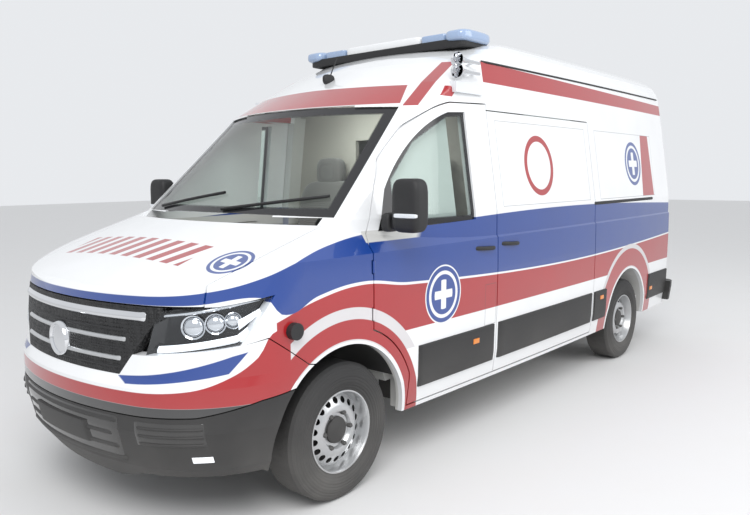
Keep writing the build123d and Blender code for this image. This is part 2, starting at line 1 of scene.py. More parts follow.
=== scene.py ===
import json
import math
from functools import partial
from types import SimpleNamespace

import bpy
import numpy as np
from mathutils import Matrix, Vector


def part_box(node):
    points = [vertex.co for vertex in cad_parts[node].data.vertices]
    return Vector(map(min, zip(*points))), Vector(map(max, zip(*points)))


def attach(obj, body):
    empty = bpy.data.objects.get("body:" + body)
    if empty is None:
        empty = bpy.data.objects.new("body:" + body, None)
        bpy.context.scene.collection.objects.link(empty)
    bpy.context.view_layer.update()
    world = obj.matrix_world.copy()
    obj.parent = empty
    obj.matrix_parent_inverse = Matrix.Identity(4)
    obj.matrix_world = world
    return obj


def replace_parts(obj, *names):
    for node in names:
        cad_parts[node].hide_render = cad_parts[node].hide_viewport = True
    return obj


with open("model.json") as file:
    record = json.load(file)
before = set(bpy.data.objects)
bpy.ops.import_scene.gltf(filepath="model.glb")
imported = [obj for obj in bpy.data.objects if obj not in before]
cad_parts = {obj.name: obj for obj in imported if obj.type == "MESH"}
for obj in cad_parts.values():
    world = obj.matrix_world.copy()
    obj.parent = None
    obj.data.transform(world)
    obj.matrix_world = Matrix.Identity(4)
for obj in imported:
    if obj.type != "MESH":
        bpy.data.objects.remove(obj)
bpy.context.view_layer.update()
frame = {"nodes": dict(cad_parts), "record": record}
nodes = frame["nodes"]
slot_of = {part["node"]: part["material_slot"] for part in frame["record"]["subparts"]}

# Camera of the photograph: picture, focal length and axis in pixels, place in metres, turn in degrees
PHOTO_WIDTH = 750.0
PHOTO_HEIGHT = 515.0
PHOTO_FOCAL = 704.7
PHOTO_AXIS = 258.7
SENSOR_WIDTH = 36.0
CAMERA_PLACE = (4.430, 3.338, 1.648)
CAMERA_YAW = -139.10
CAMERA_PITCH = -6.80
CAMERA_ROLL = -0.44

# Body skin in metres: front end and half width at each height of the nose, then half width of the side
LEVEL_Z = (0.240, 0.345, 0.520, 0.720, 0.765, 1.050, 1.250, 1.440)
LEVEL_FRONT = (2.815, 2.893, 2.933, 2.933, 2.912, 2.878, 2.840, 2.700)
LEVEL_HALF = (0.948, 0.985, 1.008, 1.014, 1.016, 1.020, 1.018, 0.880)
SIDE_Z = (0.240, 0.345, 0.520, 0.720, 0.765, 1.050, 1.190, 1.420, 2.045, 2.200, 2.355)
SIDE_HALF = (0.948, 0.985, 1.008, 1.014, 1.016, 1.020, 1.010, 1.008, 0.918, 0.894, 0.870)

# Plan outline in metres: radii of nose and corner, the side's bow, and where the corner meets the side
NOSE_RADIUS = 1.95
CORNER_RADIUS = 0.60
SIDE_BOW = 140.0
CORNER_X = 2.40

# Wheels in metres
WHEEL_Z = 0.354
FRONT_AXLE = 1.937
REAR_AXLE = -1.703
WHEEL_Y = 0.850

# Colours, linear
WHITE = (0.80, 0.81, 0.82)
RED = (0.36, 0.004, 0.008)
BLUE = (0.006, 0.045, 0.25)
# Near black: the own colour of the bumper's foot, the windscreen trough and the glass print, and painted
# shade in the pressed lines
NEAR_BLACK_AND_SHADE = (0.02, 0.02, 0.022)
ARCH_WHITE = (0.62, 0.60, 0.61)
LINING_GREY = (0.60, 0.60, 0.58)
DUST_GREY = (0.42, 0.40, 0.37)

# Livery in metres: distance from the middle where a side starts, and side bands with curves of z over x
FLANK_Y = 0.74
RED_BOTTOM = 0.805
RED_FRONT = 2.37
RED_TOP = ((-3.0, 1.055), (1.45, 1.055), (1.82, 1.098), (2.12, 1.065), (2.34, 1.0), (3.0, 0.70))
BLUE_BOTTOM = ((-3.0, 1.069), (1.45, 1.069), (1.82, 1.114), (2.12, 1.082), (2.33, 1.02), (2.42, 1.105),
               (2.7, 1.088), (3.0, 1.084))
BLUE_TOP = ((-3.0, 1.346), (1.70, 1.346), (2.0, 1.312), (2.2, 1.268), (2.42, 1.196), (2.6, 1.150),
            (2.8, 1.122), (3.0, 1.120))

# Livery of the bumper: stripe, blue stripe under the lamp as x and z, and the dark foot
STRIPE_BOTTOM = 0.640
STRIPE_REAR = 2.30
STRIPE_TOP = ((-3.0, 0.1), (2.2, 0.9), (2.36, 0.955), (2.46, 0.845), (2.60, 0.757), (2.76, 0.712),
              (3.0, 0.707))
LAMP_STRIPE = ((2.86, 0.735), (2.86, 0.765), (2.56, 0.862), (2.50, 0.875), (2.58, 0.785))
LAMP_STRIPE_INNER = 0.45
FOOT_REAR = 2.31

# Livery of the wheel arches: radii about the axle, and limits forward and down
ARCH_LIP = 0.470
ARCH_RED_INNER = 0.478
FRONT_ARCH_RED = 0.580
REAR_ARCH_RED = 0.632
ARCH_RED_FRONT = 2.33
FRONT_ARCH_WHITE = 0.640
REAR_ARCH_WHITE = 0.672
ARCH_WHITE_FRONT = 2.34
ARCH_WHITE_BOTTOM = 0.70

# Livery of the roof and rear side: outlines as x and z, or as distance from the middle and z
ROOF_STRIPE_BOTTOM = ((-3.0, 2.200), (0.58, 2.222), (3.0, 2.23))
ROOF_STRIPE_TOP = ((-3.0, 2.292), (0.58, 2.352), (3.0, 2.41))
ROOF_STRIPE_FRONT = 0.55
SLANT_STRIPE = ((0.772, 2.040), (0.850, 2.040), (0.745, 2.352), (0.668, 2.352))
SLANT_X = (0.66, 1.30)
DOOR_PATCH = ((1.010, 2.105), (0.930, 2.170), (0.830, 2.170), (0.900, 2.105))
BROW = ((-0.1, 2.056), (0.745, 2.056), (0.66, 2.182), (-0.1, 2.190))
BROW_REAR = 0.95
REAR_PANEL = ((-2.333, 1.44), (-2.03, 1.44), (-2.10, 1.985), (-2.30, 1.985))

# Plain signs: ring on the sliding door; bars on the bonnet by slant, pitch and gap, above its height
RING_CENTRE = (-0.06, 1.702)
RING_RADII = (0.165, 0.2065)
BONNET_BAR_SLANT = 0.45
BONNET_BAR_HALF_PITCH = 0.06
BONNET_BAR_HALF_GAP = 0.026
BONNET_BARS_X = (2.34, 2.55)
BONNET_BARS_Y = (-0.66, 0.48)
BONNET_Z = 1.16

# Round emblems: centre and radius, then shares of the radius for ring, inner disc and cross
DOOR_EMBLEM = ((1.139, 0.960), 0.172)
REAR_EMBLEM = ((-1.848, 1.727), 0.200)
BONNET_EMBLEM = ((2.425, 0.72), 0.118)
EMBLEM_RING = (0.80, 0.95)
EMBLEM_DISC = 0.68
EMBLEM_ARM = 0.14
EMBLEM_CROSS = 0.5

# Lined rooms as rear, front and top, the lining's depth under the skin and half width past its levels
LINING_ROOMS = ((-2.840, 0.62, 2.36), (0.62, 1.75, 1.36), (1.75, 2.30, 1.20))
LINING_DEPTH = 0.030
LINING_HALF_BELOW = 0.94
LINING_HALF_ABOVE = 0.80

# Trough at the windscreen's foot: span along x, half width and top
TROUGH_X = (1.70, 1.99)
TROUGH_HALF = 0.80
TROUGH_TOP = 1.36

# Pressed fields: spans along x and z, half width and darkness of their lines, which are painted shade at the
# pressed steps round the window fields and the real gap round the filler flap
SLIDER_FIELD = ((-0.85, 0.47), (1.44, 1.985))
REAR_FIELD = ((-2.36, -1.05), (1.44, 1.985))
FILLER_FLAP = ((0.572, 0.695), (0.70, 0.96))
LINE_HALF = 0.0022
LINE_DARK = 0.55

# Clear fields of the glass: windscreen over half its width, door as x and z, rear windows as spans
SCREEN_FIELD = ((-0.1, 1.475), (0.775, 1.475), (0.690, 1.995), (-0.1, 2.005))
DOOR_FIELD = ((0.815, 1.400), (1.490, 1.400), (1.490, 1.620), (1.280, 1.830), (0.960, 1.985), (0.815, 1.995))
REAR_WINDOW_Y = (0.145, 0.715)
REAR_WINDOW_Z = (1.425, 1.975)
REAR_WINDOW_FRONT = -2.0
PRINT_EDGE = 0.006

# Tyre pattern: tread's start, half pitches and half widths of grooves in metres, ribs in radians per metre
TREAD_RADIUS = 0.338
GROOVE_HALF_PITCH = 0.024
GROOVE_HALF = 0.004
CLEAT_HALF_PITCH = 0.017
CLEAT_HALF = 0.003
WALL_RIBS = 420.0
WALL_RELIEF = 0.12

# Wear: scale of broad patches, spans of tone and roughness, heights where dust starts and is full
PATCH_SCALE = 3.0
TONE_LOW = 0.92
TONE_SPAN = 0.16
ROUGH_SPAN = 0.14
DUST_TOP = 0.75
DUST_FULL = 0.15
DUST_MOST = 0.30


def rgba(colour):
    """Colour with full alpha."""
    return (*colour, 1.0)


class Graph:
    """Short calls for the nodes of one tree; shapes are signed distances, below zero inside."""

    # Reach of the curves, and half width of the soft edges, in metres
    REACH = 3.0
    SOFT = 0.0015

    def __init__(self, tree):
        self.tree = tree

    def node(self, kind, **settings):
        """New node with its settings."""
        made = self.tree.nodes.new(kind)
        for key, value in settings.items():
            setattr(made, key, value)
        return made

    def put(self, socket, value):
        """Links a socket, or sets a plain value."""
        if isinstance(value, bpy.types.NodeSocket):
            self.tree.links.new(value, socket)
        else:
            socket.default_value = value

    def math(self, kind, a, b=0.0, c=0.0):
        """One step of arithmetic."""
        made = self.node("ShaderNodeMath", operation=kind)
        for socket, value in zip(made.inputs, (a, b, c)):
            self.put(socket, value)
        return made.outputs[0]

    def parts(self, vector):
        """x, y and z of a vector."""
        made = self.node("ShaderNodeSeparateXYZ")
        self.put(made.inputs[0], vector)
        return made.outputs

    def low(self, *shapes):
        """Union of shapes."""
        total = shapes[0]
        for shape in shapes[1:]:
            total = self.math("MINIMUM", total, shape)
        return total

    def high(self, *shapes):
        """Overlap of shapes."""
        total = shapes[0]
        for shape in shapes[1:]:
            total = self.math("MAXIMUM", total, shape)
        return total

    def over(self, value, limit):
        """Where a value is over a limit."""
        return self.math("SUBTRACT", limit, value)

    def under(self, value, limit):
        """Where a value is under a limit."""
        return self.math("SUBTRACT", value, limit)

    def band(self, value, bottom, top):
        """Where a value lies from bottom to top."""
        return self.high(self.over(value, bottom), self.under(value, top))

    def edge(self, u, v, start, end):
        """Left side of the line from start to end."""
        du, dv = end[0] - start[0], end[1] - start[1]
        a, b = dv / math.hypot(du, dv), -du / math.hypot(du, dv)
        along_v = self.math("MULTIPLY_ADD", v, b, -a * start[0] - b * start[1])
        return self.math("MULTIPLY_ADD", u, a, along_v)

    def polygon(self, u, v, points):
        """Inside of a convex outline, points anticlockwise."""
        return self.high(*(self.edge(u, v, p, q) for p, q in zip(points, points[1:] + points[:1])))

    def distance(self, u, v, centre):
        """Distance in the plane from a centre."""
        across = self.math("POWER", self.math("SUBTRACT", u, centre[0]), 2.0)
        up = self.math("POWER", self.math("SUBTRACT", v, centre[1]), 2.0)
        return self.math("SQRT", self.math("ADD", across, up))

    def curve(self, x, points):
        """Smooth curve through points, for x within the reach each way and heights from zero to the reach."""
        made = self.node("ShaderNodeFloatCurve")
        knots = made.mapping.curves[0].points
        for _ in points[2:]:
            knots.new(0.5, 0.5)
        for knot, (px, pz) in zip(sorted(knots, key=lambda k: k.location[0]), points):
            knot.location = ((px + self.REACH) / (2.0 * self.REACH), pz / self.REACH)
            knot.handle_type = "AUTO"
        made.mapping.update()
        self.put(made.inputs["Value"], self.math("MULTIPLY_ADD", x, 0.5 / self.REACH, 0.5))
        return self.math("MULTIPLY", made.outputs[0], self.REACH)

    def ramp(self, value, start, end, bottom, top):
        """Value from bottom to top while another goes from start to end."""
        made = self.node("ShaderNodeMapRange")
        for socket, given in zip(made.inputs, (value, start, end, bottom, top)):
            self.put(socket, given)
        return made.outputs[0]

    def mask(self, shape, soft=SOFT):
        """One inside a shape and zero outside, with a narrow soft edge."""
        return self.ramp(shape, soft, -soft, 0.0, 1.0)

    def tint(self, fac, below, above):
        """Mix of two colours."""
        made = self.node("ShaderNodeMix", data_type="RGBA")
        self.put(made.inputs[0], fac)
        self.put(made.inputs[6], below)
        self.put(made.inputs[7], above)
        return made.outputs[2]

    def paint(self, colour, shape, ink):
        """Colour with a shape laid over it in another."""
        return self.tint(self.mask(shape), colour, rgba(ink))

    def noise(self, position, scale, detail):
        """Value of a noise at a scale."""
        made = self.node("ShaderNodeTexNoise")
        self.put(made.inputs["Vector"], position)
        self.put(made.inputs["Scale"], scale)
        self.put(made.inputs["Detail"], detail)
        return made.outputs["Fac"]

    def wave(self, position, way, scale):
        """Value of straight waves along one axis."""
        made = self.node("ShaderNodeTexWave", bands_direction=way)
        self.put(made.inputs["Vector"], position)
        self.put(made.inputs["Scale"], scale)
        return made.outputs["Fac"]

    def bump(self, height, strength, depth):
        """Normal from a height."""
        made = self.node("ShaderNodeBump")
        self.put(made.inputs["Strength"], strength)
        self.put(made.inputs["Distance"], depth)
        self.put(made.inputs["Height"], height)
        return made.outputs["Normal"]


def group(name, inputs, outputs):
    """Empty shader group with named sockets; returns its graph, its input sockets and its output node."""
    tree = bpy.data.node_groups.new(name, "ShaderNodeTree")
    for label, kind in inputs.items():
        tree.interface.new_socket(name=label, in_out="INPUT", socket_type=kind)
    for label, kind in outputs.items():
        tree.interface.new_socket(name=label, in_out="OUTPUT", socket_type=kind)
    graph = Graph(tree)
    return graph, graph.node("NodeGroupInput").outputs, graph.node("NodeGroupOutput")


def red_band(g, at):
    """Red band along the side, swept down over the front wing."""
    below_top = g.under(at.z, g.curve(at.x, RED_TOP))
    return g.high(g.over(at.z, RED_BOTTOM), below_top, g.under(at.x, RED_FRONT), at.flank)


def blue_band(g, at):
    """Blue band above the thin white line, swept down to the nose."""
    return g.high(g.over(at.z, g.curve(at.x, BLUE_BOTTOM)), g.under(at.z, g.curve(at.x, BLUE_TOP)))


def arch_whites(g, at):
    """White that keeps the bands off the wheel arches."""
    front = g.high(g.under(at.front_axle, FRONT_ARCH_WHITE), g.under(at.x, ARCH_WHITE_FRONT))
    rear = g.under(at.rear_axle, REAR_ARCH_WHITE)
    return g.high(g.low(front, rear), at.flank, g.over(at.z, ARCH_WHITE_BOTTOM))


def arch_rings(g, at):
    """Red rings round the wheel arches."""
    front = g.high(g.band(at.front_axle, ARCH_RED_INNER, FRONT_ARCH_RED), g.under(at.x, ARCH_RED_FRONT))
    rear = g.band(at.rear_axle, ARCH_RED_INNER, REAR_ARCH_RED)
    return g.high(g.low(front, rear), at.flank)


def arch_lips(g, at):
    """White lips inside the rings."""
    return g.high(g.under(g.low(at.front_axle, at.rear_axle), ARCH_LIP), at.flank)


def bumper_stripe(g, at):
    """Red stripe on the bumper that rises to the wing, and the red panel of the rear side."""
    below_top = g.under(at.z, g.curve(at.x, STRIPE_TOP))
    stripe = g.high(g.over(at.z, STRIPE_BOTTOM), below_top, g.over(at.x, STRIPE_REAR))
    return g.low(stripe, g.high(g.polygon(at.x, at.z, REAR_PANEL), at.flank))


def lamp_stripe(g, at):
    """Blue stripe under the headlamp."""
    return g.high(g.polygon(at.x, at.z, LAMP_STRIPE), g.over(at.s, LAMP_STRIPE_INNER))


def bumper_foot(g, at):
    """Dark part of the nose below the bumper stripe."""
    return g.high(g.under(at.z, STRIPE_BOTTOM), g.over(at.x, FOOT_REAR))


def upper_reds(g, at):
    """Stripes and patch of the roof, band over the windscreen, ring, and bars on the bonnet."""
    roof_bottom = g.curve(at.x, ROOF_STRIPE_BOTTOM)
    roof_top = g.curve(at.x, ROOF_STRIPE_TOP)
    roof = g.high(g.over(at.z, roof_bottom), g.under(at.z, roof_top), g.under(at.x, ROOF_STRIPE_FRONT))
    slant = g.high(g.polygon(at.s, at.z, SLANT_STRIPE), g.band(at.x, *SLANT_X))
    patch = g.high(g.polygon(at.x, at.z, DOOR_PATCH), at.flank)
    brow = g.high(g.polygon(at.s, at.z, BROW), g.over(at.x, BROW_REAR))
    ring = g.high(g.band(g.distance(at.x, at.z, RING_CENTRE), *RING_RADII), at.flank)
    wave = g.math("PINGPONG", g.math("MULTIPLY_ADD", at.x, BONNET_BAR_SLANT, at.y), BONNET_BAR_HALF_PITCH)
    bar_field = g.high(g.band(at.x, *BONNET_BARS_X), g.band(at.y, *BONNET_BARS_Y), at.bonnet)
    bars = g.high(g.over(wave, BONNET_BAR_HALF_GAP), bar_field)
    return g.low(roof, slant, patch, brow, ring, bars)


def emblem(g, u, v, centre, radius, limit):
    """White disc, blue ring and inner disc, plain white cross: three shapes with their colours."""
    away = g.distance(u, v, centre)
    across = g.math("ABSOLUTE", g.math("SUBTRACT", u, centre[0]))
    up = g.math("ABSOLUTE", g.math("SUBTRACT", v, centre[1]))
    ring = g.band(away, EMBLEM_RING[0] * radius, EMBLEM_RING[1] * radius)
    inked = g.low(ring, g.under(away, EMBLEM_DISC * radius))
    arms = g.low(g.under(across, EMBLEM_ARM * radius), g.under(up, EMBLEM_ARM * radius))
    cross = g.high(arms, g.under(away, EMBLEM_CROSS * radius))
    shapes = ((g.under(away, radius), WHITE), (inked, BLUE), (cross, WHITE))
    return [(g.high(shape, limit), ink) for shape, ink in shapes]


def inner_faces(g, at):
    """Inner faces of walls and doors: wherever the place lies well inside the outer skin."""
    lowest, highest = (-g.REACH, LINING_HALF_BELOW), (g.REACH, LINING_HALF_ABOVE)
    half = g.curve(at.z, (lowest, *zip(SIDE_Z, SIDE_HALF), highest))
    bow = g.math("MULTIPLY", g.math("POWER", at.x, 2.0), 1.0 / SIDE_BOW)
    limit = g.math("SUBTRACT", g.math("SUBTRACT", half, bow), LINING_DEPTH)
    rooms = (g.high(g.band(at.x, rear, front), g.under(at.z, top)) for rear, front, top in LINING_ROOMS)
    return g.high(g.under(at.s, limit), g.low(*rooms))


def screen_trough(g, at):
    """Trough under the windscreen's foot."""
    return g.high(g.band(at.x, *TROUGH_X), g.under(at.s, TROUGH_HALF), g.under(at.z, TROUGH_TOP))


def crease_shade_and_flap_gap(g, at):
    """Painted shade along the pressed steps round the window fields in sliding door and rear side, and the
    real gap round the filler flap on the left.
    """
    left = g.over(at.y, FLANK_Y)
    lines = []
    for (along_x, upright), limit in ((SLIDER_FIELD, at.flank), (REAR_FIELD, at.flank), (FILLER_FLAP, left)):
        field = g.high(g.band(at.x, *along_x), g.band(at.z, *upright), limit)
        lines.append(g.under(g.math("ABSOLUTE", field), LINE_HALF))
    return g.low(*lines)


def livery_group():
    """Bands, arch rings, emblems, lining, and dark lines over the place on the body, laid in order; the lines
    are painted shade at the pressed steps and the real gap of the filler flap.
    """
    g, given, result = group("livery", {"Position": "NodeSocketVector"}, {"Colour": "NodeSocketColor"})
    x, y, z = g.parts(given["Position"])
    s = g.math("ABSOLUTE", y)
    at = SimpleNamespace(x=x, y=y, z=z, s=s, flank=g.over(s, FLANK_Y), bonnet=g.over(z, BONNET_Z),
                         front_axle=g.distance(x, z, (FRONT_AXLE, WHEEL_Z)),
                         rear_axle=g.distance(x, z, (REAR_AXLE, WHEEL_Z)))
    layers = [
        (red_band(g, at), RED),
        (blue_band(g, at), BLUE),
        (arch_whites(g, at), ARCH_WHITE),
        (bumper_stripe(g, at), RED),
        (arch_rings(g, at), RED),
        (arch_lips(g, at), WHITE),
        (lamp_stripe(g, at), BLUE),
        (bumper_foot(g, at), NEAR_BLACK_AND_SHADE),
        (upper_reds(g, at), RED),
        *emblem(g, x, z, *DOOR_EMBLEM, at.flank),
        *emblem(g, x, z, *REAR_EMBLEM, at.flank),
        *emblem(g, x, y, *BONNET_EMBLEM, at.bonnet),
        (inner_faces(g, at), LINING_GREY),
        (screen_trough(g, at), NEAR_BLACK_AND_SHADE),
    ]
    colour = rgba(WHITE)
    for shape, ink in layers:
        colour = g.paint(colour, shape, ink)
    # Dark lines: painted shade at the pressed steps of the window fields, and the real gap round the filler
    # flap
    line = g.math("MULTIPLY", g.mask(crease_shade_and_flap_gap(g, at)), LINE_DARK)
    g.put(result.inputs["Colour"], g.tint(line, colour, rgba(NEAR_BLACK_AND_SHADE)))
    return g.tree


def wear_group():
    """Uneven tone, roughness and fine surface relief at a grain size, with dust near the ground."""
    inputs = {"Position": "NodeSocketVector", "Grain": "NodeSocketFloat", "Relief": "NodeSocketFloat"}
    outputs = {"Tone": "NodeSocketFloat", "Rough": "NodeSocketFloat", "Dust": "NodeSocketFloat",
               "Normal": "NodeSocketVector"}
    g, given, result = group("surface_wear", inputs, outputs)
    broad = g.noise(given["Position"], PATCH_SCALE, detail=3.0)
    fine = g.noise(given["Position"], given["Grain"], detail=2.0)
    _, _, z = g.parts(given["Position"])
    near_ground = g.ramp(z, DUST_TOP, DUST_FULL, 0.0, DUST_MOST)
    g.put(result.inputs["Tone"], g.math("MULTIPLY_ADD", broad, TONE_SPAN, TONE_LOW))
    g.put(result.inputs["Rough"], g.math("MULTIPLY_ADD", broad, ROUGH_SPAN, -0.5 * ROUGH_SPAN))
    g.put(result.inputs["Dust"], g.math("MULTIPLY", near_ground, broad))
    g.put(result.inputs["Normal"], g.bump(fine, given["Relief"], depth=0.002))
    return g.tree


LIVERY = livery_group()
WEAR = wear_group()


def finish(name, colour, rough, metal=0.0, grain=400.0, relief=0.15, coat=0.0):
    """Material with uneven tone, relief and dust; returns it with its graph, shader, place and base."""
    mat = bpy.data.materials.new(name)
    mat.use_nodes = True
    g = Graph(mat.node_tree)
    shader = mat.node_tree.nodes["Principled BSDF"]
    place = g.node("ShaderNodeTexCoord").outputs["Object"]
    wear = g.node("ShaderNodeGroup", node_tree=WEAR)
    g.put(wear.inputs["Position"], place)
    g.put(wear.inputs["Grain"], grain)
    g.put(wear.inputs["Relief"], relief)
    base = g.node("ShaderNodeHueSaturation")
    g.put(base.inputs["Color"], rgba(colour))
    g.put(base.inputs["Value"], wear.outputs["Tone"])
    g.put(shader.inputs["Base Color"], g.tint(wear.outputs["Dust"], base.outputs[0], rgba(DUST_GREY)))
    g.put(shader.inputs["Roughness"], g.math("ADD", wear.outputs["Rough"], rough))
    g.put(shader.inputs["Normal"], wear.outputs["Normal"])
    g.put(shader.inputs["Metallic"], metal)
    g.put(shader.inputs["Coat Weight"], coat)
    return mat, g, shader, place, base


def body_paint():
    """White gloss paint under clear coat, with the livery over it."""
    mat, g, shader, place, base = finish("body_paint", WHITE, 0.33, grain=700.0, relief=0.02, coat=1.0)
    livery = g.node("ShaderNodeGroup", node_tree=LIVERY)
    g.put(livery.inputs["Position"], place)
    g.put(base.inputs["Color"], livery.outputs["Colour"])
    g.put(shader.inputs["Coat Roughness"], 0.04)
    return mat


def screen_field(g, x, y, z):
    """Clear field of the windscreen inside its printed border."""
    return g.polygon(g.math("ABSOLUTE", y), z, SCREEN_FIELD)


def window_field(g, x, y, z):
    """Clear fields of the door windows, whose front corner is a dark sail, and of the rear windows."""
    side = g.polygon(x, z, DOOR_FIELD)
    across = g.band(g.math("ABSOLUTE", y), *REAR_WINDOW_Y)
    rear = g.high(across, g.band(z, *REAR_WINDOW_Z), g.under(x, REAR_WINDOW_FRONT))
    return g.low(side, rear)


def clear_sheet(name, tint, field=None):
    """Thin glass: mirror at a slant, tinted, with a dark printed border round a clear field."""
    mat = bpy.data.materials.new(name)
    mat.use_nodes = True
    g = Graph(mat.node_tree)
    place = g.node("ShaderNodeTexCoord").outputs["Object"]
    through = g.node("ShaderNodeBsdfTransparent")
    g.put(through.inputs["Color"], rgba(tint))
    gloss = g.node("ShaderNodeBsdfGlossy")
    smear = g.noise(place, scale=6.0, detail=3.0)
    g.put(gloss.inputs["Roughness"], g.math("MULTIPLY_ADD", smear, 0.05, 0.01))
    facing = g.node("ShaderNodeFresnel")
    g.put(facing.inputs["IOR"], 1.5)
    outer = g.math("SUBTRACT", 1.0, g.node("ShaderNodeNewGeometry").outputs["Backfacing"])
    sheet = g.node("ShaderNodeMixShader")
    g.put(sheet.inputs[0], g.math("MULTIPLY", facing.outputs[0], outer))
    g.put(sheet.inputs[1], through.outputs[0])
    g.put(sheet.inputs[2], gloss.outputs[0])
    shown = sheet.outputs[0]
    if field:
        print_black = mat.node_tree.nodes["Principled BSDF"]
        g.put(print_black.inputs["Base Color"], rgba(NEAR_BLACK_AND_SHADE))
        g.put(print_black.inputs["Roughness"], 0.08)
        border = g.node("ShaderNodeMixShader")
        g.put(border.inputs[0], g.mask(field(g, *g.parts(place)), PRINT_EDGE))
        g.put(border.inputs[1], print_black.outputs[0])
        g.put(border.inputs[2], shown)
        shown = border.outputs[0]
    g.put(mat.node_tree.nodes["Material Output"].inputs["Surface"], shown)
    return mat


def lens(name, colour, glow):
    """Moulded lamp lens with fine upright ribs and a faint glow."""
    mat, g, shader, place, _ = finish(name, colour, 0.10, grain=60.0, relief=0.05, coat=1.0)
    g.put(shader.inputs["Normal"], g.bump(g.wave(place, "Y", scale=28.0), strength=0.25, depth=0.003))
    g.put(shader.inputs["Emission Color"], rgba(colour))
    g.put(shader.inputs["Emission Strength"], glow)
    return mat


def tyre_rubber():
    """Dull black rubber with circular sidewall ribs and a blocky tread, measured from the nearer axle."""
    mat, g, shader, place, _ = finish("tyre", (0.016, 0.016, 0.017), 0.72, grain=300.0, relief=0.2)
    x, y, z = g.parts(place)
    from_middle = g.math("ABSOLUTE", g.math("SUBTRACT", x, 0.5 * (FRONT_AXLE + REAR_AXLE)))
    hub = g.math("SUBTRACT", from_middle, 0.5 * (FRONT_AXLE - REAR_AXLE))
    away = g.distance(hub, z, (0.0, WHEEL_Z))
    turn = g.math("ARCTAN2", g.math("SUBTRACT", z, WHEEL_Z), hub)
    groove = g.math("PINGPONG", g.math("SUBTRACT", g.math("ABSOLUTE", y), WHEEL_Y), GROOVE_HALF_PITCH)
    cleats = g.math("PINGPONG", g.math("MULTIPLY", turn, WHEEL_Z), CLEAT_HALF_PITCH)
    ribs = g.math("GREATER_THAN", groove, GROOVE_HALF)
    blocks = g.math("MULTIPLY", ribs, g.math("GREATER_THAN", cleats, CLEAT_HALF))
    wall = g.math("MULTIPLY", g.math("SINE", g.math("MULTIPLY", away, WALL_RIBS)), WALL_RELIEF)
    tread = g.math("GREATER_THAN", away, TREAD_RADIUS)
    on_wall = g.math("MULTIPLY", g.math("SUBTRACT", 1.0, tread), wall)
    height = g.math("ADD", g.math("MULTIPLY", tread, blocks), on_wall)
    g.put(shader.inputs["Normal"], g.bump(height, strength=0.9, depth=0.006))
    return mat


def seat_cloth():
    """Woven cloth: two crossed threads, mottled, with a soft sheen."""
    mat, g, shader, place, _ = finish("seat_fabric", (0.12, 0.115, 0.11), 0.9)
    weave = g.math("MULTIPLY", g.wave(place, "X", scale=120.0), g.wave(place, "Z", scale=120.0))
    g.put(shader.inputs["Normal"], g.bump(weave, strength=0.6, depth=0.002))
    g.put(shader.inputs["Sheen Weight"], 0.4)
    return mat


def mesh_plastic():
    """Black honeycomb mesh of the grille."""
    mat, g, shader, place, _ = finish("grille_mesh", (0.012, 0.012, 0.013), 0.5)
    cells = g.node("ShaderNodeTexVoronoi", feature="DISTANCE_TO_EDGE")
    g.put(cells.inputs["Vector"], place)
    g.put(cells.inputs["Scale"], 55.0)
    g.put(cells.inputs["Randomness"], 0.25)
    g.put(shader.inputs["Normal"], g.bump(cells.outputs["Distance"], strength=0.9, depth=0.02))
    return mat


# Plain finishes: colour, roughness, metal, grain, relief, coat
FINISHES = {
    "black_plastic": ((0.014, 0.014, 0.015), 0.55, 0.0, 900.0, 0.35, 0.0),
    "chassis_black": ((0.02, 0.02, 0.02), 0.6, 0.0, 120.0, 0.2, 0.0),
    "cast": ((0.10, 0.10, 0.10), 0.7, 0.6, 180.0, 0.5, 0.0),
    "rim_silver": ((0.55, 0.56, 0.57), 0.32, 0.85, 600.0, 0.06, 0.3),
    "trim_grey": ((0.42, 0.40, 0.36), 0.7, 0.0, 500.0, 0.25, 0.0),
    "dash_dark": ((0.028, 0.028, 0.03), 0.65, 0.0, 800.0, 0.4, 0.0),
    "chrome": ((0.75, 0.76, 0.78), 0.07, 1.0, 200.0, 0.02, 0.0),
    "white_plastic": ((0.80, 0.81, 0.82), 0.25, 0.0, 500.0, 0.05, 0.4),
    "dark_gloss": ((0.01, 0.01, 0.011), 0.12, 0.0, 300.0, 0.03, 0.6),
    "amber": ((0.75, 0.22, 0.01), 0.2, 0.0, 90.0, 0.2, 0.6),
}
MATERIALS = {name: finish(name, *values)[0] for name, values in FINISHES.items()}
MATERIALS["body_paint"] = body_paint()
MATERIALS["glass"] = clear_sheet("glass", (0.82, 0.86, 0.84), window_field)
MATERIALS["screen_glass"] = clear_sheet("screen_glass", (0.86, 0.90, 0.88), screen_field)
MATERIALS["lamp_clear"] = lens("lamp_clear", (0.72, 0.75, 0.78), 0.0)
MATERIALS["lamp_red"] = lens("lamp_red", (0.42, 0.01, 0.012), 0.05)
MATERIALS["lamp_blue"] = lens("lamp_blue", (0.30, 0.40, 0.58), 0.0)
MATERIALS["lamp_cover"] = clear_sheet("lamp_cover", (0.94, 0.96, 0.98))
MATERIALS["running_light"] = lens("running_light", (0.85, 0.87, 0.9), 0.5)
MATERIALS["tyre"] = tyre_rubber()
MATERIALS["seat_fabric"] = seat_cloth()
MATERIALS["grille_mesh"] = mesh_plastic()

for name, node in nodes.items():
    node.data.materials.clear()
    node.data.materials.append(MATERIALS[slot_of[name]])
nodes["windscreen"].data.materials[0] = MATERIALS["screen_glass"]
nodes["grille"].data.materials[0] = MATERIALS["grille_mesh"]


def arrays(*values):
    """Values as arrays of one shape."""
    return np.broadcast_arrays(*(np.asarray(value, float) for value in values))


def plan_corner(z):
    """Front end at height z, centre of the corner's arc, and the angle at which the nose's arc meets it."""
    front = np.interp(z, LEVEL_Z, LEVEL_FRONT)
    side = np.interp(z, LEVEL_Z, LEVEL_HALF) - CORNER_X ** 2 / SIDE_BOW
    inner = NOSE_RADIUS - CORNER_RADIUS
    corner_y = side - CORNER_RADIUS
    corner_x = front - NOSE_RADIUS + np.sqrt(inner ** 2 - corner_y ** 2)
    return front, corner_x, corner_y, np.arcsin(corner_y / inner)


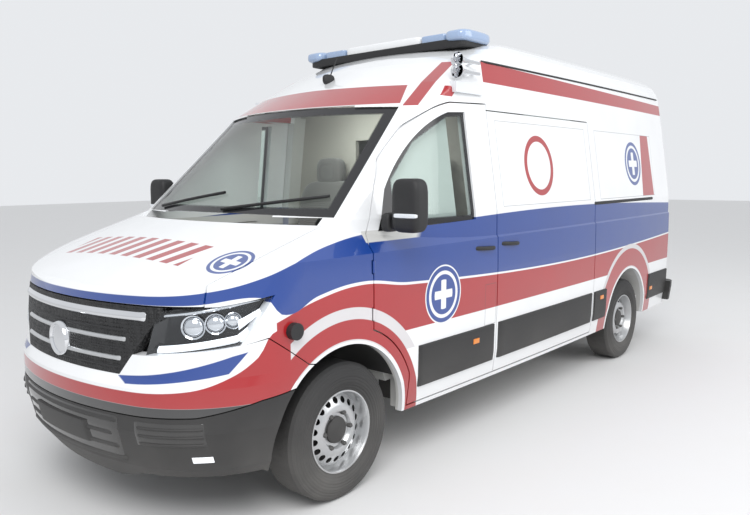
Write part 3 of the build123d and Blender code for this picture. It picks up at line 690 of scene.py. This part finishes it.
def skin(s, z, out=0.0):
    """Point s metres round the plan outline from the nose's middle, left positive, at height z: an arc of
    the nose radius about the long axis, then one of the corner radius tangent to it and to the side."""
    s, z, out = arrays(s, z, out)
    front, corner_x, corner_y, turn = plan_corner(z)
    away = np.abs(s)
    angle = away / NOSE_RADIUS
    bend = np.minimum(turn + (away - NOSE_RADIUS * turn) / CORNER_RADIUS, 0.5 * np.pi)
    on_nose = angle < turn
    nose_x = front - NOSE_RADIUS + (NOSE_RADIUS + out) * np.cos(angle)
    nose_y = (NOSE_RADIUS + out) * np.sin(angle)
    bend_x = corner_x + (CORNER_RADIUS + out) * np.cos(bend)
    bend_y = corner_y + (CORNER_RADIUS + out) * np.sin(bend)
    x = np.where(on_nose, nose_x, bend_x)
    y = np.where(on_nose, nose_y, bend_y) * np.sign(s)
    return np.stack([x, y, z], axis=-1)


def along(x, z):
    """Length s round the plan outline at which the left skin reaches x, at height z."""
    front, corner_x, _, turn = plan_corner(z)
    angle = np.arccos(np.clip((x - front + NOSE_RADIUS) / NOSE_RADIUS, -1.0, 1.0))
    bend = np.arccos(np.clip((x - corner_x) / CORNER_RADIUS, 0.0, 1.0))
    return np.where(angle < turn, NOSE_RADIUS * angle, NOSE_RADIUS * turn + CORNER_RADIUS * (bend - turn))


def flank_point(x, z, out, hand):
    """Point on the side skin at x and height z: half width by height, drawn in by the side's shallow bow."""
    x, z, out = arrays(x, z, out)
    y = np.interp(z, SIDE_Z, SIDE_HALF) - x ** 2 / SIDE_BOW + out
    return np.stack([x, hand * y, z], axis=-1)


def spread(count_u, count_v, low=0.0, high=1.0):
    """Two parameters over a grid."""
    return np.meshgrid(np.linspace(low, high, count_u), np.linspace(low, high, count_v), indexing="ij")


def within(span, share):
    """Place in a span for a share from -1 at its start to 1 at its end."""
    return 0.5 * (span[0] + span[1]) + 0.5 * (span[1] - span[0]) * share


def pad(place, across, up, proud, edge=0.25, count=24, sink=0.004):
    """Raised pad on a skin: full height inside, falling as a quarter circle to just under the skin over
    the edge share of its half size."""
    u, v = spread(count, count, -1.0, 1.0)
    rise = np.clip((1.0 - np.maximum(np.abs(u), np.abs(v))) / edge, 0.0, 1.0)
    out = (proud + sink) * np.sqrt(1.0 - (1.0 - rise) ** 2) - sink
    return place(within(across, u), within(up, v), out)


def rib(place, across, height, tall, proud, count=60, sink=0.006, fade=0.02):
    """Half-round rib on a skin: a half ellipse, tall by proud, along a height, faded in at its ends."""
    u, turn = np.meshgrid(np.linspace(*across, count), np.linspace(0.0, np.pi, 9), indexing="ij")
    shown = np.clip(np.minimum(u - across[0], across[1] - u) / fade, 0.0, 1.0)
    return place(u, height - 0.5 * tall * np.cos(turn), (proud + sink) * np.sin(turn) * shown - sink)


def blob(centre, half, power, rows=28, cols=40):
    """Rounded box: sines and cosines of latitude and longitude raised to a power, times the half sizes."""
    latitude = np.linspace(-0.5, 0.5, rows) * np.pi
    longitude = np.linspace(-1.0, 1.0, cols) * np.pi
    lat, lon = np.meshgrid(latitude, longitude, indexing="ij")

    def swell(value):
        return np.sign(value) * np.abs(value) ** power

    x = centre[0] + half[0] * swell(np.cos(lat)) * swell(np.cos(lon))
    y = centre[1] + half[1] * swell(np.cos(lat)) * swell(np.sin(lon))
    z = centre[2] + half[2] * swell(np.sin(lat))
    return np.stack([x, y, z], axis=-1)


def revolve(profile, start, axis, count=48):
    """Profile of radius and height, turned about an axis through start."""
    radius, height = np.asarray(profile, float).T
    axis = np.asarray(axis, float) / np.linalg.norm(axis)
    side = np.cross(axis, (0.0, 0.0, 1.0) if abs(axis[2]) < 0.9 else (1.0, 0.0, 0.0))
    side = side / np.linalg.norm(side)
    third = np.cross(axis, side)
    turn = np.linspace(0.0, 2.0 * np.pi, count)
    ring = np.cos(turn)[None, :, None] * side + np.sin(turn)[None, :, None] * third
    return np.asarray(start) + radius[:, None, None] * ring + height[:, None, None] * axis


def tube(points, radius, count=10):
    """Round tube along points: rings square to the path."""
    points = np.asarray(points, float)
    ahead = np.gradient(points, axis=0)
    ahead = ahead / np.linalg.norm(ahead, axis=1, keepdims=True)
    guide = np.where(np.abs(ahead[:, 2:]) < 0.9, np.array([[0.0, 0.0, 1.0]]), np.array([[1.0, 0.0, 0.0]]))
    side = np.cross(ahead, guide)
    side = side / np.linalg.norm(side, axis=1, keepdims=True)
    third = np.cross(ahead, side)
    turn = np.linspace(0.0, 2.0 * np.pi, count)
    ring = np.cos(turn)[None, :, None] * side[:, None] + np.sin(turn)[None, :, None] * third[:, None]
    return points[:, None] + radius * ring


def piece(name, body, slot, surfaces, material=None):
    """One mesh of several surfaces, each a grid of points joined by quads, riding on a body."""
    points, faces, start = [], [], 0
    for grid in surfaces:
        rows, cols = grid.shape[:2]
        index = start + np.arange(rows * cols).reshape(rows, cols)
        quads = np.stack([index[:-1, :-1], index[1:, :-1], index[1:, 1:], index[:-1, 1:]], axis=-1)
        points.append(grid.reshape(-1, 3))
        faces.append(quads.reshape(-1, 4))
        start += rows * cols
    mesh = bpy.data.meshes.new(name)
    mesh.from_pydata(np.concatenate(points).tolist(), [], np.concatenate(faces).tolist())
    mesh.polygons.foreach_set("use_smooth", np.ones(len(mesh.polygons), dtype=bool))
    mesh.set_sharp_from_angle(angle=math.radians(40.0))
    mesh.materials.append(MATERIALS[material or slot])
    obj = bpy.data.objects.new(name, mesh)
    bpy.context.scene.collection.objects.link(obj)
    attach(obj, body)
    return obj


def sided(grid, hand):
    """A surface of the left side, put on the left for hand 1 and on the right for hand -1."""
    return grid * np.array([1.0, hand, 1.0])


def both(*grids):
    """Surfaces of the left side, each followed by its mirror image."""
    return [sided(grid, hand) for grid in grids for hand in (1.0, -1.0)]


# Headlamp outline as x and z from the inner end to the outer tip, and the share of its length at each point
LAMP_TOP = np.array([(2.765, 1.062), (2.542, 1.106), (2.380, 1.110)])
LAMP_TOP_SHARES = (0.0, 0.6, 1.0)
LAMP_BOTTOM = np.array([(2.808, 0.858), (2.534, 0.903), (2.420, 1.010), (2.380, 1.108)])
LAMP_BOTTOM_SHARES = (0.0, 0.6, 0.85, 1.0)

# Headlamp rim as shares of its length and height, depths under the skin, and strips as shares across and up
LAMP_RIM_INNER = 0.04
LAMP_RIM_TIP = 0.06
LAMP_RIM_EDGE = 0.10
BOWL_EDGE_DEPTH = 0.005
BOWL_DEPTH = 0.045
COVER_EDGE_DEPTH = 0.001
COVER_RISE = 0.002
LOW_STRIP = ((0.04, 0.70), (0.06, 0.22))
RISING_STRIP = ((0.62, 0.84), (0.30, 0.52))
STRIP_DEPTH = 0.024
BROW_STRIP = ((0.04, 0.86), (0.84, 0.93))
BROW_DEPTH = 0.020

# Projectors: share of the lamp's length and radius; their height in the lamp, depth under the skin and bulge
PROJECTORS = ((0.24, 0.046), (0.42, 0.040), (0.58, 0.032))
PROJECTOR_UP = 0.55
PROJECTOR_DEPTH = 0.045
PROJECTOR_BULGE = 0.030


def lamp_point(u, v, out):
    """Point of the lamp field: u from the inner end to the tip, v from the lower to the upper edge."""
    top_x, top_z = (np.interp(u, LAMP_TOP_SHARES, LAMP_TOP[:, k]) for k in (0, 1))
    bottom_x, bottom_z = (np.interp(u, LAMP_BOTTOM_SHARES, LAMP_BOTTOM[:, k]) for k in (0, 1))
    x = bottom_x + (top_x - bottom_x) * v
    z = bottom_z + (top_z - bottom_z) * v
    return skin(along(x, z), z, out)


def lamp_strip(across, up, depth, bulge=0.008):
    """Strip in the lamp field: a half sine over its height, at a depth under the skin."""
    a, b = spread(50, 8)
    u = across[0] + (across[1] - across[0]) * a
    v = up[0] + (up[1] - up[0]) * b
    return lamp_point(u, v, bulge * np.sin(np.pi * b) - depth)


def projector(at, radius):
    """Dome of a quarter ellipse turned about the line square to the skin, in a raised bezel."""
    share, up = np.array(at), np.array(PROJECTOR_UP)
    centre = lamp_point(share, up, -PROJECTOR_DEPTH)
    facing = lamp_point(share, up, 0.0) - centre
    turn = np.linspace(0.5 * np.pi, 0.0, 12)
    dome = np.stack([radius * np.sin(turn), PROJECTOR_BULGE * np.cos(turn)], axis=1)
    bezel = [(radius * 1.22, 0.0), (radius * 1.18, 0.014), (radius * 1.02, 0.010), (radius, 0.0)]
    return both(revolve(dome, centre, facing), revolve(bezel, centre, facing))


def headlamps():
    """Dark bowls with a clear cover, light strips, a bright brow and three projectors each."""
    u, v = spread(60, 24)
    ends = np.minimum(u / LAMP_RIM_INNER, (1.0 - u) / LAMP_RIM_TIP)
    edges = np.minimum(v / LAMP_RIM_EDGE, (1.0 - v) / LAMP_RIM_EDGE)
    inside = np.clip(np.minimum(ends, edges), 0.0, 1.0)
    bowls = both(lamp_point(u, v, -BOWL_EDGE_DEPTH - BOWL_DEPTH * inside))
    piece("headlamp_bowls", "body", "black_plastic", bowls, "dark_gloss")
    covers = both(lamp_point(u, v, COVER_RISE * inside - COVER_EDGE_DEPTH))
    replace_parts(piece("headlamp_covers", "body", "lamp_clear", covers, "lamp_cover"), "headlamps")
    low_bar = lamp_strip(*LOW_STRIP, STRIP_DEPTH)
    rising = lamp_strip(*RISING_STRIP, STRIP_DEPTH)
    piece("running_lights", "body", "lamp_clear", both(low_bar, rising), "running_light")
    brow = lamp_strip(*BROW_STRIP, BROW_DEPTH)
    piece("headlamp_brows", "body", "chrome", both(brow))
    domes = [grid for at, radius in PROJECTORS for grid in projector(at, radius)]
    piece("lamp_projectors", "body", "chrome", domes)


# Grille: height and half width of each bar and fin, height and profile of the boss
GRILLE_STRIP = (1.034, 0.60)
GRILLE_BARS = ((0.927, 0.492), (0.840, 0.470))
GRILLE_FINS = ((0.968, 0.50), (0.884, 0.48), (0.800, 0.462))
BOSS_Z = 0.876
BOSS_PROFILE = ((0.086, -0.01), (0.086, 0.012), (0.080, 0.022), (0.072, 0.022), (0.066, 0.014),
                (0.040, 0.017), (0.001, 0.018))


def middle_ribs(rows, tall, proud):
    """Ribs across the nose's middle, one for each height and half width."""
    return [rib(skin, (-half, half), height, tall, proud) for height, half in rows]


def grille():
    """Bright strip, silver bars, black fins and a plain boss."""
    piece("grille_top_strip", "body", "chrome", middle_ribs([GRILLE_STRIP], tall=0.044, proud=0.012))
    piece("grille_bars", "body", "rim_silver", middle_ribs(GRILLE_BARS, tall=0.024, proud=0.010))
    piece("grille_fins", "body", "black_plastic", middle_ribs(GRILLE_FINS, tall=0.012, proud=0.004))
    centre = skin(0.0, BOSS_Z)
    piece("grille_boss", "body", "chrome", [revolve(BOSS_PROFILE, centre, (1.0, 0.0, 0.0))])


# Bumper: spans round the nose and upwards, height and half width of each slat, heights of the corner slats
INTAKE = ((-0.48, 0.48), (0.355, 0.585))
CORNER_INTAKE = ((0.55, 0.90), (0.455, 0.575))
SLATS = ((0.560, 0.46), (0.494, 0.425), (0.432, 0.452), (0.373, 0.48))
CORNER_SLAT = (0.56, 0.895)
CORNER_SLATS_Z = (0.545, 0.508, 0.470)
FOG_LAMP = ((0.80, 0.90), (0.379, 0.411))
PLATE_HOLDER = ((-0.26, 0.26), (0.415, 0.530))


def bumper():
    """Intakes as dark gloss sheets, painted shade of the openings over the black plastic behind them; slats,
    fog lamps and a bare plate holder.
    """
    # Intake sheets: painted shade of the openings behind the slats, darker than the black plastic they sit on
    intakes = [pad(skin, *INTAKE, proud=0.003, edge=0.06)]
    intakes += both(pad(skin, *CORNER_INTAKE, proud=0.003, edge=0.10))
    piece("bumper_intake_shade", "body", "black_plastic", intakes, "dark_gloss")
    slats = middle_ribs(SLATS, tall=0.026, proud=0.010)
    slats += both(*(rib(skin, CORNER_SLAT, height, tall=0.018, proud=0.010) for height in CORNER_SLATS_Z))
    piece("bumper_slats", "body", "black_plastic", slats)
    piece("fog_lamps", "body", "lamp_clear", both(pad(skin, *FOG_LAMP, proud=0.006)), "running_light")
    piece("plate_holder", "body", "black_plastic", [pad(skin, *PLATE_HOLDER, proud=0.014, edge=0.10)])


# Sides: spans along x and upwards, middles as x and z, rail and gutter as a span and its height
CLADDING_Z = (0.455, 0.700)
DOOR_CLADDING = (0.575, 1.37)
BODY_CLADDING = ((-0.925, 0.545), (-1.19, -0.945), (-2.77, -2.22))
DOOR_HANDLE = (0.700, 1.185)
SLIDER_HANDLE = (0.400, 1.192)
DOOR_MARKER = (0.802, 0.623)
BODY_MARKERS = ((-1.085, 0.639), (-2.286, 0.561))
SLIDER_RAIL = ((-2.295, -0.906), 1.410)
ROOF_GUTTER = ((-2.75, 0.54), 2.352)


def around(middle, half):
    """Span of a half size each way from a middle."""
    return middle - half, middle + half


def cladding(place, side):
    """Black strips along the lower side, on the front door and on the body."""
    door = pad(place, DOOR_CLADDING, CLADDING_Z, proud=0.012, edge=0.06, count=40)
    piece(f"cladding_door_{side}", f"front_door_{side}", "black_plastic", [door])
    strips = [pad(place, span, CLADDING_Z, proud=0.012, edge=0.06, count=40) for span in BODY_CLADDING]
    piece(f"cladding_body_{side}", "body", "black_plastic", strips)


def handle(place, x, z, length=0.21, rise=0.012, out=0.030, sink=0.008, radius=0.013):
    """Bowed grip over a shallow cup: a tube whose distance from the skin follows a flattened half sine."""
    t = np.linspace(0.0, 1.0, 40)
    path = place(x + length * (t - 0.5), z + rise * t, out * np.sin(np.pi * t) ** 0.4 - sink)
    cup = pad(place, around(x, 0.07), around(z, 0.035), proud=0.003, edge=0.6)
    return [tube(path, radius), cup]


def handles(place, side):
    """Handles of the front door and of the sliding door."""
    piece(f"door_handle_{side}", f"front_door_{side}", "black_plastic", handle(place, *DOOR_HANDLE))
    piece(f"slider_handle_{side}", "body", "black_plastic", handle(place, *SLIDER_HANDLE))


def marker(place, x, z):
    """Small amber side marker."""
    return pad(place, around(x, 0.035), around(z, 0.018), proud=0.018, edge=0.3)


def markers(place, side):
    """Side markers of the body and of the front door."""
    on_body = [marker(place, *middle) for middle in BODY_MARKERS]
    piece(f"side_markers_{side}", "body", "black_plastic", on_body, "amber")
    on_door = [marker(place, *DOOR_MARKER)]
    piece(f"door_marker_{side}", f"front_door_{side}", "black_plastic", on_door, "amber")


def rail_and_gutter(place, side):
    """Rail of the sliding door and gutter at the roof's edge."""
    rail = rib(place, *SLIDER_RAIL, tall=0.030, proud=0.006)
    gutter = rib(place, *ROOF_GUTTER, tall=0.016, proud=0.008)
    piece(f"rail_and_gutter_{side}", "body", "black_plastic", [rail, gutter])


# Rounded forms: centre, half sizes and power, where a lower power is boxier; mirror forms are the left ones
MIRROR_HEAD = ((1.597, 1.122, 1.490), (0.057, 0.088, 0.138), 0.42)
MIRROR_ARM = ((1.580, 1.020, 1.392), (0.036, 0.085, 0.030), 0.5)
MIRROR_FOOT = ((1.585, 0.985, 1.400), (0.055, 0.030, 0.050), 0.5)
MIRROR_FACE = ((1.545, 1.122, 1.500), (0.008, 0.074, 0.112), 0.35)
MIRROR_LIGHT = ((1.640, 1.130, 1.440), (0.018, 0.074, 0.012), 0.4)
LIGHT_BAR_TRAY = ((0.362, 0.0, 2.500), (0.160, 0.715, 0.030), 0.22)
LIGHT_BAR_SIGN = ((0.380, 0.0, 2.546), (0.120, 0.345, 0.034), 0.16)
LIGHT_BAR_INNER_POD = ((0.375, 0.455, 2.544), (0.125, 0.100, 0.032), 0.2)
LIGHT_BAR_END_POD = ((0.362, 0.650, 2.546), (0.180, 0.092, 0.042), 0.55)
ANTENNA_FIN = ((1.030, 0.0, 2.272), (0.048, 0.022, 0.034), 0.7)

# Whip of the antenna: points from foot to tip, and radius
ANTENNA_WHIP = ((1.020, 0.0, 2.285), (0.983, 0.0, 2.355), (0.947, 0.0, 2.421))
WHIP_RADIUS = 0.004


def mirror(hand, side):
    """Rounded mirror head on its arm and foot, with a bright rear face and a light strip in front."""
    door = f"front_door_{side}"
    housing = [sided(blob(*form), hand) for form in (MIRROR_HEAD, MIRROR_ARM, MIRROR_FOOT)]
    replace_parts(piece(f"mirror_housing_{side}", door, "black_plastic", housing), f"mirror_{side}")
    piece(f"mirror_face_{side}", door, "chrome", [sided(blob(*MIRROR_FACE), hand)])
    piece(f"mirror_light_{side}", door, "lamp_clear", [sided(blob(*MIRROR_LIGHT), hand)])


def light_bar():
    """Tray with a blank sign in its middle, and blue pods towards each rounded end."""
    tray = piece("light_bar_tray", "body", "black_plastic", [blob(*LIGHT_BAR_TRAY)])
    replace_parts(tray, "light_bar_base")
    sign = piece("light_bar_panel", "body", "white_plastic", [blob(*LIGHT_BAR_SIGN)])
    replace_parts(sign, "light_bar_sign")
    blues = both(blob(*LIGHT_BAR_INNER_POD), blob(*LIGHT_BAR_END_POD))
    pods = piece("light_bar_pods", "body", "lamp_blue", blues)
    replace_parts(pods, "light_bar_lenses")


def antenna():
    """Short fin with its whip, leaning back."""
    whip = tube(ANTENNA_WHIP, WHIP_RADIUS)
    fin = piece("antenna_fin", "body", "black_plastic", [blob(*ANTENNA_FIN), whip])
    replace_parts(fin, "roof_antenna")


# Horns: rear end, distance from the middle, heights, length, throat, flare and wall
HORN_X = 0.640
HORN_Y = 0.915
HORNS_Z = (2.258, 2.322)
HORN_LENGTH = 0.24
HORN_THROAT = 0.011
HORN_FLARE = 0.034
HORN_WALL = 0.002

# Stays of the horns: places along x, distances from the middle of foot and bend, drop of the foot, radius
STAYS_X = (0.67, 0.76)
STAY_FOOT_Y = 0.84
STAY_BEND_Y = 0.88
STAY_DROP = 0.01
STAY_RADIUS = 0.007


def horns():
    """Two trumpets, whose radius grows with the fifth power of the length, each on two stays."""
    t = np.linspace(0.0, 1.0, 30)
    outside = np.stack([HORN_THROAT + HORN_FLARE * t ** 5, HORN_LENGTH * t], axis=1)
    inside = outside[::-1] - np.array((HORN_WALL, 0.0))
    profile = np.concatenate([outside, inside])
    trumpets = [revolve(profile, (HORN_X, HORN_Y, z), (1.0, 0.0, 0.0)) for z in HORNS_Z]
    stays = []
    for x in STAYS_X:
        for z in HORNS_Z:
            path = [(x, STAY_FOOT_Y, z - STAY_DROP), (x, STAY_BEND_Y, z), (x, HORN_Y, z)]
            stays.append(tube(path, STAY_RADIUS))
    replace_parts(piece("horn_trumpets", "body", "chrome", trumpets + stays), "air_horns")


# Wheel profiles as radius and distance out from the tyre's middle; ring of holes between rim and dish; bolts
WHEEL_RIM = ((0.200, -0.090), (0.200, 0.030), (0.213, 0.094), (0.212, 0.099), (0.205, 0.099), (0.199, 0.088),
             (0.192, 0.048), (0.186, 0.034), (0.176, 0.042))
WHEEL_DISH = ((0.136, 0.064), (0.116, 0.073), (0.098, 0.068), (0.088, 0.052), (0.066, 0.050))
WHEEL_CAP = ((0.070, 0.048), (0.068, 0.062), (0.055, 0.068), (0.001, 0.070))
# Black disc behind the holes: painted shade standing for the hub and brake seen through them
WHEEL_SHADE_DISC = ((0.198, -0.02), (0.001, -0.02))
WHEEL_HOLES = 18
HOLE_CIRCLE = 0.156
HOLE_RADIUS = 0.0165
WHEEL_BOLTS = 6
BOLT_CIRCLE = 0.094
BOLT_OUT = 0.058
WHEEL_BOLT = ((0.012, -0.01), (0.012, 0.016), (0.009, 0.020), (0.001, 0.020))


def wheel_bridges(centre, hand):
    """Bridges between the round holes: at each radius, the pitch's half angle less the hole's, either way."""
    part, across = np.meshgrid(np.linspace(0.0, 1.0, 16), np.linspace(-1.0, 1.0, 7), indexing="ij")
    (outer, outer_out), (inner, inner_out) = WHEEL_RIM[-1], WHEEL_DISH[0]
    radius = outer + (inner - outer) * part
    out = outer_out + (inner_out - outer_out) * part
    opening = np.sqrt(np.clip(HOLE_RADIUS ** 2 - (radius - HOLE_CIRCLE) ** 2, 0.0, None)) / radius
    bridges = []
    for turn in 2.0 * np.pi * np.arange(WHEEL_HOLES) / WHEEL_HOLES:
        angle = turn + across * (np.pi / WHEEL_HOLES - opening)
        bridge = np.stack([radius * np.cos(angle), hand * out, radius * np.sin(angle)], axis=-1)
        bridges.append(centre + bridge)
    return bridges


def wheel(end, side, hand):
    """Steel wheel: rim, ring of round holes, dish, bolts and cap, with a black disc behind the holes as
    painted shade of the hub and brake, turned about the axle.
    """
    axle = FRONT_AXLE if end == "front" else REAR_AXLE
    centre = np.array((axle, hand * WHEEL_Y, WHEEL_Z))
    axis = (0.0, hand, 0.0)
    body = f"wheel_{end}_{side}"
    shell = [revolve(profile, centre, axis, 96) for profile in (WHEEL_RIM, WHEEL_DISH)]
    disc = shell + wheel_bridges(centre, hand)
    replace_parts(piece(f"wheel_disc_{end}_{side}", body, "rim_silver", disc), f"rim_{end}_{side}")
    bolts = []
    for turn in 2.0 * np.pi * np.arange(WHEEL_BOLTS) / WHEEL_BOLTS:
        offset = np.array((BOLT_CIRCLE * np.cos(turn), hand * BOLT_OUT, BOLT_CIRCLE * np.sin(turn)))
        bolts.append(revolve(WHEEL_BOLT, centre + offset, axis, 7))
    piece(f"wheel_bolts_{end}_{side}", body, "cast", bolts)
    # Black cap, and the black disc behind the holes as painted shade
    dark = [revolve(WHEEL_CAP, centre, axis), revolve(WHEEL_SHADE_DISC, centre, axis)]
    piece(f"wheel_cap_and_shade_{end}_{side}", body, "black_plastic", dark)


# Seats: middle and half width of each; the back's middle and how far it leans for each metre up
SEATS = {"seat_driver": (0.470, 0.245), "seat_passenger": (-0.420, 0.300)}
SEAT_BACK_PLACE = (0.640, 0.0, 1.275)
SEAT_BACK_LEAN = (0.16, 0.0, 0.0)


def seat(node, middle, half):
    """Padded seat: crowned cushion, leaning back and head restraint, each a rounded box, on a boxy stand."""
    cushion = blob((0.965, middle, 0.950), (0.265, half - 0.01, 0.075), 0.45)
    rest = blob((0.0, middle, 0.0), (0.075, half - 0.02, 0.330), 0.45)
    rest = rest + np.array(SEAT_BACK_PLACE) - np.array(SEAT_BACK_LEAN) * rest[..., 2:]
    head = blob((0.590, middle, 1.670), (0.048, 0.130, 0.105), 0.55)
    made = piece(f"padded_{node}", "body", "seat_fabric", [cushion, rest, head])
    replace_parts(made, node)
    stand = blob((0.970, middle, 0.715), (0.210, half - 0.06, 0.165), 0.2)
    piece(f"stand_{node}", "body", "dash_dark", [stand])


# Rear door: plate as spans across and upwards, foot and length of the upright handle, and its cup
REAR_PLATE = ((0.12, 0.64), (0.78, 0.90))
REAR_HANDLE = (0.075, 1.00)
REAR_HANDLE_LENGTH = 0.20
REAR_CUP = ((0.035, 0.115), (1.03, 1.17))


def rear_parts():
    """Bare plate and upright handle on the left rear door: a tube bowed out from a shallow cup."""
    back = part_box("rear_door_left")[0].x

    def place(y, z, out):
        y, z, out = arrays(y, z, out)
        return np.stack([back - out, y, z], axis=-1)

    plate = pad(place, *REAR_PLATE, proud=0.006, edge=0.10)
    piece("rear_plate", "rear_door_left", "white_plastic", [plate])
    t = np.linspace(0.0, 1.0, 30)
    y, foot = REAR_HANDLE
    path = place(y, foot + REAR_HANDLE_LENGTH * t, 0.012 * np.sin(np.pi * t) ** 0.4 - 0.004)
    grip = [tube(path, 0.011), pad(place, *REAR_CUP, proud=0.003, edge=0.5)]
    piece("rear_door_handle", "rear_door_left", "black_plastic", grip)


# Wipers: y and z of each blade's two ends seen from the front, radius, and distance from the glass
WIPERS = (((-0.62, 1.455), (0.02, 1.545)), ((0.10, 1.455), (0.74, 1.530)))
WIPER_RADIUS = 0.009
WIPER_OUT = 0.012
AHEAD_OF_NOSE = 4.0


def wipers():
    """Two wipers near the windscreen's foot: tubes along points cast on to the glass from the front."""
    screen = nodes["windscreen"]
    backwards = Vector((-1.0, 0.0, 0.0))
    tubes = []
    for start, end in WIPERS:
        path = []
        for t in np.linspace(0.0, 1.0, 12):
            y = start[0] + (end[0] - start[0]) * t
            z = start[1] + (end[1] - start[1]) * t
            hit, spot, face, _ = screen.ray_cast(Vector((AHEAD_OF_NOSE, y, z)), backwards)
            if hit:
                path.append(tuple(spot + face.normalized() * WIPER_OUT))
        tubes.append(tube(path, WIPER_RADIUS, 8))
    piece("wipers", "body", "black_plastic", tubes)


def aim_camera():
    """Camera at the photograph's place, looking along yaw and pitch and rolled about its line of sight."""
    data = bpy.data.cameras.new("camera")
    data.sensor_width = SENSOR_WIDTH
    data.lens = PHOTO_FOCAL / PHOTO_WIDTH * SENSOR_WIDTH
    data.shift_y = (PHOTO_AXIS - 0.5 * PHOTO_HEIGHT) / PHOTO_WIDTH
    data.clip_end = 200.0
    cam = bpy.data.objects.new("camera", data)
    bpy.context.scene.collection.objects.link(cam)
    yaw, pitch, roll = (math.radians(v) for v in (CAMERA_YAW, CAMERA_PITCH, CAMERA_ROLL))
    ahead = Vector((math.cos(yaw) * math.cos(pitch), math.sin(yaw) * math.cos(pitch), math.sin(pitch)))
    right = Vector((math.sin(yaw), -math.cos(yaw), 0.0))
    up = right.cross(ahead)
    side = right * math.cos(roll) + up * math.sin(roll)
    top = up * math.cos(roll) - right * math.sin(roll)
    turn = Matrix((side, top, -ahead)).transposed()
    cam.matrix_world = Matrix.Translation(CAMERA_PLACE) @ turn.to_4x4()
    bpy.context.scene.camera = cam


# Studio: half size and grey of the floor, sky, and lamps as name, place, power and size, aimed at one point
FLOOR_HALF = 40.0
FLOOR_GREY = (0.80, 0.80, 0.80)
SKY = (0.95, 0.97, 1.0)
SKY_STRENGTH = 0.85
LAMPS = (("key", (6.0, 5.0, 7.0), 480.0, 5.0), ("fill", (-3.0, 8.0, 5.0), 230.0, 6.0),
         ("cab", (1.05, 0.0, 2.0), 9.0, 0.5))
LAMP_TARGET = (0.5, 0.0, 1.0)


def studio():
    """Pale floor, soft sky, two broad lamps outside and a small one in the cab."""
    world = bpy.data.worlds.new("studio")
    bpy.context.scene.world = world
    world.use_nodes = True
    sky = world.node_tree.nodes["Background"]
    sky.inputs["Color"].default_value = rgba(SKY)
    sky.inputs["Strength"].default_value = SKY_STRENGTH
    corners = [(x * FLOOR_HALF, y * FLOOR_HALF, 0.0) for x, y in ((-1, -1), (1, -1), (1, 1), (-1, 1))]
    mesh = bpy.data.meshes.new("floor")
    mesh.from_pydata(corners, [], [(0, 1, 2, 3)])
    floor = bpy.data.objects.new("floor", mesh)
    bpy.context.scene.collection.objects.link(floor)
    mesh.materials.append(finish("floor", FLOOR_GREY, 0.85, relief=0.02)[0])
    for name, place, power, size in LAMPS:
        data = bpy.data.lights.new(name, "AREA")
        data.energy = power
        data.size = size
        lamp = bpy.data.objects.new(name, data)
        bpy.context.scene.collection.objects.link(lamp)
        lamp.location = place
        aim = Vector(LAMP_TARGET) - Vector(place)
        lamp.rotation_euler = aim.to_track_quat("-Z", "Y").to_euler()
    bpy.context.scene.view_settings.view_transform = "Standard"


headlamps()
grille()
bumper()
for hand, side in ((1, "left"), (-1, "right")):
    place_on_side = partial(flank_point, hand=hand)
    cladding(place_on_side, side)
    handles(place_on_side, side)
    markers(place_on_side, side)
    rail_and_gutter(place_on_side, side)
    mirror(hand, side)
    for end in ("front", "rear"):
        wheel(end, side, hand)
light_bar()
antenna()
horns()
for node, (middle, half) in SEATS.items():
    seat(node, middle, half)
rear_parts()
wipers()
aim_camera()
studio()
